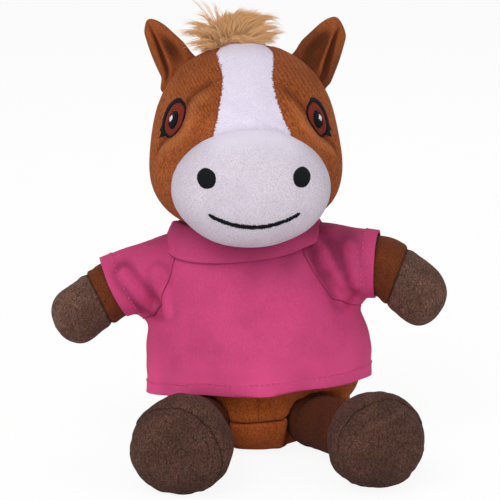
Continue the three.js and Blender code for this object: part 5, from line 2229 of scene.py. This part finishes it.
@dataclass
class Shirt:
    """A short-sleeved knitted shirt with a wide neckband, cut with raglan seams."""

    torso: Torso
    knit: float = 1.2
    ease: tuple = (1.5, 6.0, 9.5)
    yoke: tuple = ((-5.9, -3, 91), (43, 36, 15))
    hem: float = 28.0
    hem_slopes: tuple = (4.5, 6.0)
    side_seam: float = 6.0
    collar: tuple = (38.0, 34.5)
    collar_taper: float = 2.5
    collar_top: float = 109.0
    collar_reach: float = 15.0
    collar_gap: float = 1.3
    collar_side: float = 40.6
    band: float = 1.6
    lift: float = 1.1
    voxel: float = 1.5
    panel_share: float = 0.62
    band_length: float = 0.25
    band_share: float = 0.96
    cuffs: dict[Side, tuple] = both(((30, -4, 92.5), (59.3, -9, 90.2), 18.0, 16.6),
                                    ((-40, -4, 88.5), (-72, -8.5, 78.2), 17.0, 16.2))
    cuff_slant: dict[Side, tuple] = both((-0.05, 0.0), (0.13, 1.6))
    sleeve_bend: dict[Side, tuple] = both(((50, -4, 69), (0.75, 0, 0.661), 9.5),
                                          ((-57, -4, 62), (-0.913, 0, 0.407), 8.8))
    arches: tuple = ((11.5, 0, 15, 20, 44), (1.8, -29, 10, -28, -42))
    creases: tuple = (((-66, 0, 88), (-53, 0, 70), 1.2, 2.6), ((-49, 0, 88), (-46, 0, 70), 0.7, 3.0),
                      ((33, 0, 99), (43, 0, 76), 0.9, 2.8), ((45, 0, 101), (48, 0, 82), 0.7, 2.6),
                      ((30, 0, 103), (34, 0, 92), 0.7, 2.2))
    gussets: tuple = (((46.5, -5, 72.5), 7.0), ((-53, -6, 67.5), 8.0))
    raglan: dict[Side, tuple] = both(
        ((101.8, 21.1), (95.3, 24.5), (83.5, 31.7), (76.2, 37.5), (71.4, 45.8), (69, 50), (66, 70),
         (60, 120)),
        ((101.3, -39.5), (87.4, -43.6), (72.7, -48.5), (65.3, -52.5), (62, -57), (58, -80), (54, -120)))

    def distance(self, points: Array) -> Array:
        """The signed distance from the shirt's body, without its sleeves.

        Args:
            points: Places.

        Returns:
            One distance a point.
        """
        low, front, side = self.ease
        fall = np.clip((91 - points[:, 2]) / 63, 0, 1)
        sideways = points[:, 0] ** 2 / (points[:, 0] ** 2 + points[:, 1] ** 2 + 0.3)
        fold = 1.1 * fall * np.cos(5 * np.arctan2(points[:, 0], -points[:, 1]))
        side = side - 1.0 * step(0, -20, points[:, 0])
        ease = low + (front + (side - front) * sideways - low) * np.sqrt(fall) + fold
        body = self.torso.distance(points) - ease
        yoke = Lumps((self.yoke[0],), (self.yoke[1],), 4.0).distance(points)
        return -4 * np.logaddexp(-body / 4, -yoke / 4)

    def sleeve(self, side: Side, at_cuff: bool = False) -> Placing:
        """A sleeve's frame at its root or at its cuff, with Y along it."""
        root, cuff = (as_array(end) for end in self.cuffs[side][:2])
        return Placing.along(cuff if at_cuff else root, cuff - root)

    def cloth(self) -> Sewn:
        """The whole shirt in one skin, from its body, two sleeves and a gusset under each arm.

        Returns:
            The skin.
        """
        body = from_middle(self.distance, self.torso.middle, globe(64, 110))
        parts = [new_piece("shirt_form", body, ring_faces(64, 110))]
        for side, (root, cuff, wide, narrow) in self.cuffs.items():
            reach = float(length_of(as_array(cuff) - as_array(root)))
            along = np.linspace(-8, reach + 12, 30)
            radii = np.interp(along, [-8, 0, reach, reach + 12], [wide * 0.9, wide, narrow, narrow])
            points = self.sleeve(side).out(tube(along, radii, 48, along[[0, -1]]))
            parts.append(new_piece(f"sleeve_form_{side.word}", points, ring_faces(30, 48)))
        parts += [new_piece("gusset_form", np.array(centre) + globe(14, 24) * radius, ring_faces(14, 24))
                  for centre, radius in self.gussets]
        choose(*parts)
        bpy.ops.object.join()
        voxels = {"mode": "VOXEL", "voxel_size": self.voxel * MM, "use_smooth_shade": True}
        joined = with_modifier(parts[0], "REMESH", **voxels)
        points, faces = taken(with_modifier(joined, "SMOOTH", factor=0.5, iterations=14))
        return Sewn(points, faces, outward(points, faces), {})

    def neck_line(self, points: Array) -> Array:
        """How far outside the neckband's cone each point is.

        Args:
            points: Places.

        Returns:
            One distance a point.
        """
        own = self.collar_frame().back(points)
        wide, deep = self.collar
        radius = length_of(own[:, :2] / (wide, deep))
        grown = 1 + self.collar_taper / wide * np.clip(-own[:, 2] / self.collar_reach, -0.2, 1)
        return (radius - grown) * wide

    def depth(self, azimuth: Array) -> Array:
        """How far below its frame the neckband is sewn on, at angles round the neck."""
        return 6.6 + 2.2 * step(-0.2, -0.9, np.sin(azimuth)) + 2.6 * step(0.2, 0.9, np.sin(azimuth))

    def collar_frame(self) -> Placing:
        """The neckband's frame, with Z up through the neck."""
        turn = Matrix.Rotation(math.radians(4), 3, "X") @ Matrix.Rotation(math.radians(-4.5), 3, "Y")
        return Placing((-7, 0, self.collar_top), tuple(tuple(row) for row in turn))

    def folds(self, cloth: Sewn) -> Array:
        """The heights of folds and of the turned hem and cuffs.

        Args:
            cloth: Some of the shirt's cloth.

        Returns:
            One height a point.
        """
        points = cloth.points
        heights = 0.5 * ripple(points * (1, 1, 0.5), 22, 61) * step(-2, 8, cloth.marks["neck"])
        for start, end, reach, width in self.creases:
            near = line_distance(points * (1, 0, 1), as_array([start, end]) * (1, 0, 1))
            fold = 1.2 * reach * bell(near, 0, width) - reach * bell(near, 4.6, 2.4)
            heights += fold * step(-3, -12, points[:, 1])
        heights += 0.35 * ripple(points * (0.25, 0.25, 1.8), 15, 62) * step(74, 52, points[:, 2])
        heights += 0.35 * step(6.6, 5.6, cloth.marks["hem"])
        for side in Side:
            heights += 0.3 * step(6.6, 5.8, cloth.marks[f"cuff_{side.word}"])
        flare = fading(np.maximum(cloth.marks["hem"], 0), 12)
        heights += 0.8 * flare * np.sin(np.arctan2(points[:, 0], -points[:, 1]) * 9 + 1)
        return heights

    def mark(self, cloth: Sewn) -> None:
        """Gives the cloth its distances from the edges and seams.

        Args:
            cloth: Some of the shirt's cloth.
        """
        points = cloth.points
        slopes = [math.tan(math.radians(a)) for a in self.hem_slopes]
        cloth.marks["hem"] = points[:, 2] - self.hem - points[:, 0] * slopes[0] + points[:, 1] * slopes[1]
        for rise, middle, width, low, high in self.arches:
            cloth.marks["hem"] -= rise * (bell(points[:, 0], middle, width) * step(low, high, points[:, 1]))
        own = self.collar_frame().back(points)
        floor = 2.4 - self.depth(np.arctan2(own[:, 1], own[:, 0]))
        beyond = np.maximum(self.neck_line(points), floor - own[:, 2])
        cloth.marks["neck"] = np.where(points[:, 2] > 84, beyond, 60.0)
        cloth.marks["side"] = points[:, 1] - self.side_seam
        for side in Side:
            own = self.sleeve(side, at_cuff=True).back(points)
            slant, bulge = self.cuff_slant[side]
            in_front = step(2, -8, points[:, 1] - self.cuffs[side][1][1])
            edge = slant * own[:, 0] + bulge * (np.clip(1 - (own[:, 0] / 17) ** 2, 0, 1) * in_front)
            sleeve = np.hypot(own[:, 0], own[:, 2]) < 20.5
            cloth.marks[f"cuff_{side.word}"] = np.where(sleeve, edge - own[:, 1], 60.0)
            heights, places = as_array(self.raglan[side][::-1]).T
            seam = np.interp(points[:, 2], heights, places)
            cloth.marks[f"raglan_{side.word}"] = (points[:, 0] - seam) * side.value
        cloth.marks["around"] = np.arctan2(points[:, 0] + 3, -points[:, 1]) * 48
        cloth.marks["along"] = points[:, 2].copy()

    def build(self, finishes: Finishes, head: Head) -> None:
        """Cuts the shirt and makes its panels, its stitches and its neckband.

        Args:
            finishes: The toy's finishes.
            head: The head above the neckband.
        """
        cloth = self.cloth()
        self.mark(cloth)
        for name in ("hem", "neck", "cuff_left", "cuff_right"):
            cloth, _ = cloth.split(cloth.marks[name])
        self.stitches(finishes, cloth)
        body, sleeves = cloth, {}
        for side in Side:
            sleeves[side], body = body.split(body.marks[f"raglan_{side.word}"])
            local = self.sleeve(side).back(sleeves[side].points)
            sleeves[side].marks["around"] = np.arctan2(local[:, 2], local[:, 0]) * 17
            sleeves[side].marks["along"] = local[:, 1]
        back, front = body.split(body.marks["side"])
        back.marks["around"] = np.arctan2(back.points[:, 0] + 3, back.points[:, 1]) * -48
        self.cut(finishes, head, "shirt_front", front)
        self.cut(finishes, head, "shirt_back", back)
        for side, fabric in sleeves.items():
            self.cut(finishes, head, f"shirt_sleeve_{side.word}", fabric, side)
        self.neckband(finishes, head)

    def cut(self, finishes: Finishes, head: Head, name: str, fabric: Sewn,
            side: Side | None = None) -> None:
        """Thickens and dresses one panel.

        Args:
            finishes: The toy's finishes.
            head: The head, which shades it.
            name: The node that it replaces.
            fabric: Its outside.
            side: The sleeve's side, or None on the body.
        """
        seams = [np.abs(fabric.marks[f"raglan_{s.word}"]) for s in Side]
        if side is None:
            seams.append(np.abs(fabric.marks["side"]))
        seam, folds = np.min(seams, axis=0), self.folds(fabric)
        raised = fabric.raised(folds - 0.45 * fading(seam, 0.6))
        # Painted shade under the head, in the folds' hollows and over the whole of each sleeve, and painted
        # light towards the body's hem.
        dark = self.shade(raised.points, head) + 0.35 * np.clip(-folds, 0, 1.2)
        dark = dark - 0.85 * step(30, 2, fabric.marks["hem"]) if side is None else dark + 0.16
        raised.marks["shaded"] = np.clip(dark, -1, 1)
        piece = finishes.dress(panel(f"knit_{name}", raised, seam, self.knit), "pink_knit")
        self.carry(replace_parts(piece, name), side)
        self.lay(piece, fabric)

    def shade(self, points: Array, head: Head) -> Array:
        """How deep in the head's shade each point lies."""
        return np.exp(-np.maximum(head.lumps.distance(HEAD.back(points)), 0) / 13)

    def lay(self, piece: Piece, fabric: Sewn) -> None:
        """Logs the area of a panel's cloth.

        Args:
            piece: The panel.
            fabric: Its outside, which has its area.
        """
        corners = fabric.points[fabric.faces] * MM
        across = np.cross(corners[:, 1] - corners[:, 0], corners[:, 2] - corners[:, 0])
        area = float(length_of(across).sum() / 2)
        log.info("shirt: %s, %.4f square metres", piece.name, area)

    def carry(self, piece: Piece, side: Side | None) -> None:
        """Lets a piece ride on the body, or leaves a sleeve's piece in place with its placing baked into its
        mesh.

        Args:
            piece: The piece.
            side: The sleeve's side, or None on the body.
        """
        if side is None:
            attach(piece, "torso")
            return
        seam, out, reach = self.sleeve_bend[side]
        start = as_array(seam)
        end = start + unit(as_array(out)) * reach
        tuple(end * MM)
        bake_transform(piece)

    def band_rows(self, head: Head, azimuth: Array) -> list[Array]:
        """The neckband's rows of points, from its inner lip over its rim down to its seam, in its own frame.

        Args:
            head: The head above it.
            azimuth: Angles round the neck.

        Returns:
            The rows.
        """
        own, count = self.collar_frame(), len(azimuth)
        around = np.stack([self.collar[0] * np.cos(azimuth), self.collar[1] * np.sin(azimuth)], axis=1)
        front = step(0.35, -0.35, np.sin(azimuth))

        def room(share: Array | float, highest: float) -> Array:
            """How far up the band can go below the head.

            Args:
                share: Its width there, as a share of the collar's.
                highest: The most that it may go up.

            Returns:
                One height for each angle.
            """
            rises = np.linspace(-6, highest, 60)
            flat = np.repeat((around * np.reshape(share, (-1, 1)))[:, None], 60, axis=1)
            upright = np.broadcast_to(rises, (count, 60))[..., None]
            line = own.out(np.concatenate([flat, upright], axis=-1).reshape(-1, 3))
            close = head.lumps.distance(HEAD.back(line)).reshape(count, 60) < self.collar_gap
            return np.where(close.any(axis=1), rises[np.argmax(close, axis=1)], highest)

        def even(values: Array) -> Array:
            """Values round the band without jumps.

            Args:
                values: One for each angle.

            Returns:
                The values once they are evened out.
            """
            for _ in range(8):
                values = (np.roll(values, 1) + values * 2 + np.roll(values, -1)) / 4
            return values

        sideways = step(0.45, 0.85, np.abs(np.cos(azimuth)))
        narrowed = 1 - 0.06 * sideways
        drop = self.depth(azimuth)
        axis = own.out(np.column_stack([np.zeros((count, 2)), -drop]))
        ways = unit(own.out(np.column_stack([around, 0 * drop])) - own.out(np.zeros((1, 3))))
        reach = reach_of(self.distance, axis, ways, self.lift, 80)
        reach = even(np.maximum(reach, sideways * self.collar_side))
        top = even(np.minimum(room(narrowed, 6.5), 6.5 * front + 1.0 * (1 - front)))
        lip = 0.05 + 0.13 * front
        rows = []
        for share in (1.0, 0.66, 0.33):
            wide = narrowed - lip * share
            high = np.minimum(even(room(wide, 7.0)), top + 0.3) - 1.6 * share**2
            rows.append(np.column_stack([around * wide[:, None], high]))
        rim = length_of(around) * narrowed
        for share in np.linspace(0, 1, 16):
            flat = rim + (reach - rim) * share**1.2 + 0.7 * math.sin(math.pi * share)
            rows.append(np.column_stack([unit(around) * flat[:, None], top - (drop + top) * share]))
        return rows

    def neckband(self, finishes: Finishes, head: Head, count: int = 144) -> None:
        """Makes the neckband, which lies on the shirt below and turns in under the head above.

        Args:
            finishes: The toy's finishes.
            head: The head above it.
            count: How many points a row has.
        """
        own, azimuth = self.collar_frame(), TURN * np.arange(count) / count
        rows = self.band_rows(head, azimuth)
        placed = own.out(np.concatenate(rows))
        buried = np.maximum(0, self.lift - self.distance(placed))
        placed += self.away(placed) * buried[:, None]
        faces, share = strip_faces(len(rows), count), np.linspace(0, 1, len(rows))
        marks = {"around": np.tile(azimuth * 37, len(rows)), "along": np.repeat(share, count) * 15,
                 "seam": np.repeat((1 - share) * 15, count), "shaded": self.shade(placed, head)}
        piece = new_piece("knit_shirt_neckband", placed, faces, marks)
        with_modifier(piece, "SUBSURF", levels=1, render_levels=1)
        with_modifier(piece, "SOLIDIFY", thickness=self.band * MM, offset=-1)
        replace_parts(finishes.dress(piece, "pink_knit"), "shirt_neckband")
        bottom, rim = own.out(np.array([[0, 0, -10.0], [0, 0, 0.0]]))
        tuple(bottom * MM)
        tuple(rim * MM)
        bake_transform(piece)
        self.lay(piece, Sewn(placed, triangles_of(faces), placed, {}))

    def away(self, points: Array) -> Array:
        """The way out of the shirt at some places."""
        slope = [self.distance(points + move) - self.distance(points - move) for move in np.eye(3) * 0.2]
        return unit(np.stack(slope, axis=1))

    def stitches(self, finishes: Finishes, cloth: Sewn) -> None:
        """Sews the dotted lines along the hem and the cuffs.

        Args:
            finishes: The toy's finishes.
            cloth: The whole shirt.
        """
        for name, level, side in (("hem", 6.0, None), *((f"cuff_{s.word}", 6.2, s) for s in Side)):
            places, ways = cloth.crossings(name, level)
            spare = Sewn(places, np.zeros((0, 3), dtype=int), places, {})
            self.mark(spare)
            places = places + ways * (self.folds(spare) + 0.15)[:, None]
            local = places if side is None else self.sleeve(side, at_cuff=True).back(places)
            turn = (local[:, 0], -local[:, 1]) if side is None else (local[:, 2], local[:, 0])
            order = np.argsort(np.arctan2(*turn))
            piece = stitch_row(f"stitches_{name}", places[order], ways[order])
            self.carry(finishes.dress(piece, "pink_knit", "pink_thread"), side)
            log.info("shirt: %s", piece.name)


def stitch_row(name: str, line: Array, ways: Array, pitch: float = 2.7, length: float = 1.9,
               radius: float = 0.36) -> Piece:
    """A row of short stitches along a closed line.

    Args:
        name: The piece's name.
        line: The line's points in order.
        ways: The way out of the cloth at each point.
        pitch: The distance between two stitches.
        length: The length of one.
        radius: Half its thickness.

    Returns:
        The piece.
    """
    closed = np.concatenate([line, line[:1]])
    outs = np.concatenate([ways, ways[:1]])
    run = np.concatenate([[0], np.cumsum(length_of(np.diff(closed, axis=0)))])
    starts = np.arange(0, run[-1] - length, pitch)
    bpy.ops.object.select_all(action="DESELECT")
    bpy.ops.mesh.primitive_uv_sphere_add(segments=6, ring_count=4, radius=1.0)
    capsule = bpy.context.object
    base = np.array([v.co[:] for v in capsule.data.vertices])
    faces = sorted(tuple(p.vertices) for p in capsule.data.polygons)
    bpy.data.meshes.remove(capsule.data)
    points, joined = [], []
    for start in starts:
        ends = [np.array([np.interp(start + e, run, closed[:, a]) for a in range(3)]) for e in (0, length)]
        out = unit(np.array([np.interp(start + length / 2, run, outs[:, a]) for a in range(3)]))
        middle, span = (ends[0] + ends[1]) / 2, ends[1] - ends[0]
        along = unit(span)
        side = unit(np.cross(out, along))
        basis = np.stack([side * radius, out * radius, along * length / 2])
        joined += [tuple(i + len(points) * len(base) for i in face) for face in faces]
        points.append(middle + base @ basis)
    satin = np.tile(base[:, 2] * length, len(points))
    return new_piece(name, np.concatenate(points), joined, {"satin": satin})


@dataclass
class Studio:
    """A white floor, soft lamps and the camera."""

    eye: tuple = (-4, -978.1, 303.2)
    aim: tuple = (-4, 0, 95.3)
    focal: float = 143.4
    world: float = 0.40
    lamps: tuple = (("key", (-0.7, -1.1, 1.5), 1.1, 10.4), ("fill", (1.1, -1.2, 0.8), 1.2, 3.6),
                    ("low", (-0.2, -1.4, 0.12), 1.0, 7.0), ("back", (0.2, 1.1, 1.3), 1.0, 3.0))

    def placed(self, name: str, data: bpy.types.ID, place: Sequence[float], aim: Sequence[float]) -> Piece:
        """Puts a lamp or a camera in its place.

        Args:
            name: Its name.
            data: The lamp or the camera.
            place: Where it is, in metres.
            aim: What it points at, in metres.

        Returns:
            Its object.
        """
        item = bpy.data.objects.new(name, data)
        item.location = place
        item.rotation_euler = (Vector(aim) - Vector(place)).to_track_quat("-Z", "Y").to_euler()
        bpy.context.scene.collection.objects.link(item)
        return item

    def build(self) -> None:
        """Sets up floor, world, lamps and camera."""
        scene = bpy.context.scene
        scene.view_settings.view_transform = "Standard"
        lens = bpy.data.cameras.new("camera")
        lens.lens, lens.sensor_width = self.focal, 36
        scene.camera = self.placed("camera", lens, Vector(self.eye) * MM, Vector(self.aim) * MM)
        bpy.ops.object.select_all(action="DESELECT")
        bpy.ops.mesh.primitive_plane_add(size=8, location=(0, 0, 0))
        floor = bpy.context.object
        floor.name = "floor"
        floor.data.materials.append(self.floor_finish())
        scene.world = self.surroundings()
        for name, place, size, power in self.lamps:
            light = bpy.data.lights.new(name, "AREA")
            light.size, light.energy, light.shape = size, power, "DISK"
            self.placed(name, light, place, (0, 0, 0.1))
        log.info("studio: floor, lamps and camera")

    def surroundings(self) -> bpy.types.World:
        """Surroundings that look white and light the toy a little.

        Returns:
            The world.
        """
        world = bpy.data.worlds.new("studio")
        world.use_nodes = True
        make = Nodes(world.node_tree)
        camera, glossy = (make.node("LightPath", output=f"Is {kind} Ray") for kind in ("Camera", "Glossy"))
        seen = make.node("Math", {"operation": "MAXIMUM"}, {0: camera, 1: glossy})
        strength = make.node("MapRange", None, {"Value": seen, "To Min": self.world, "To Max": 1.0})
        background = make.tree.nodes["Background"]
        background.inputs["Color"].default_value = (1, 1, 1, 1)
        make.tree.links.new(strength.socket, background.inputs["Strength"])
        return world

    def floor_finish(self) -> bpy.types.Material:
        """A floor that shows white to the camera and keeps the toy's shadow.

        Returns:
            The material.
        """
        make = Recipe("floor", 0.9)
        make.shader.inputs["Base Color"].default_value = (0.85, 0.85, 0.85, 1)
        cloth = Shade(make.tree, make.shader.outputs[0])
        white = make.node("Emission", None, {"Color": (1, 1, 1, 1), "Strength": 1.06})
        path = make.node("LightPath", output="Is Camera Ray")
        mix = make.node("MixShader", None, {0: path * 0.85, 1: cloth, 2: white})
        make.tree.links.new(mix.socket, make.tree.nodes["Material Output"].inputs["Surface"])
        return make.material


def main() -> None:
    """Builds the toy in order."""
    logging.basicConfig(level=logging.INFO, format="%(message)s")
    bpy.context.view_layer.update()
    Studio().build()
    finishes = Finishes()
    torso, head = Torso(), Head()
    limbs = [*(Arm(side) for side in Side), *(Leg(side) for side in Side)]
    tail = Tail()
    sockets = [(NECK.origin, torso.neck_ball)]
    sockets += [(limb.placing().origin, limb.socket) for limb in limbs]
    sockets += [(tail.placing(torso).origin, tail.socket)]
    torso.build(finishes, sockets)
    Neck().build(finishes)
    ears = [Ear(side) for side in Side]
    balls = [((0, 0, 0), head.neck_ball), *(ball for ear in ears for ball in ear.sockets(head))]
    ground = head.build(finishes, balls)
    for ear in ears:
        ear.build(finishes, head)
    Eye(Side.LEFT, 48.0).build(finishes, ground)
    Eye(Side.RIGHT, 53.0).build(finishes, ground)
    Muzzle().build(finishes, ground)
    Forelock().build(finishes)
    Mane().build(finishes, head)
    tail.build(finishes, torso)
    for limb in limbs:
        limb.build(finishes)
    Shirt(torso).build(finishes, head)


if __name__ == "__main__":
    main()
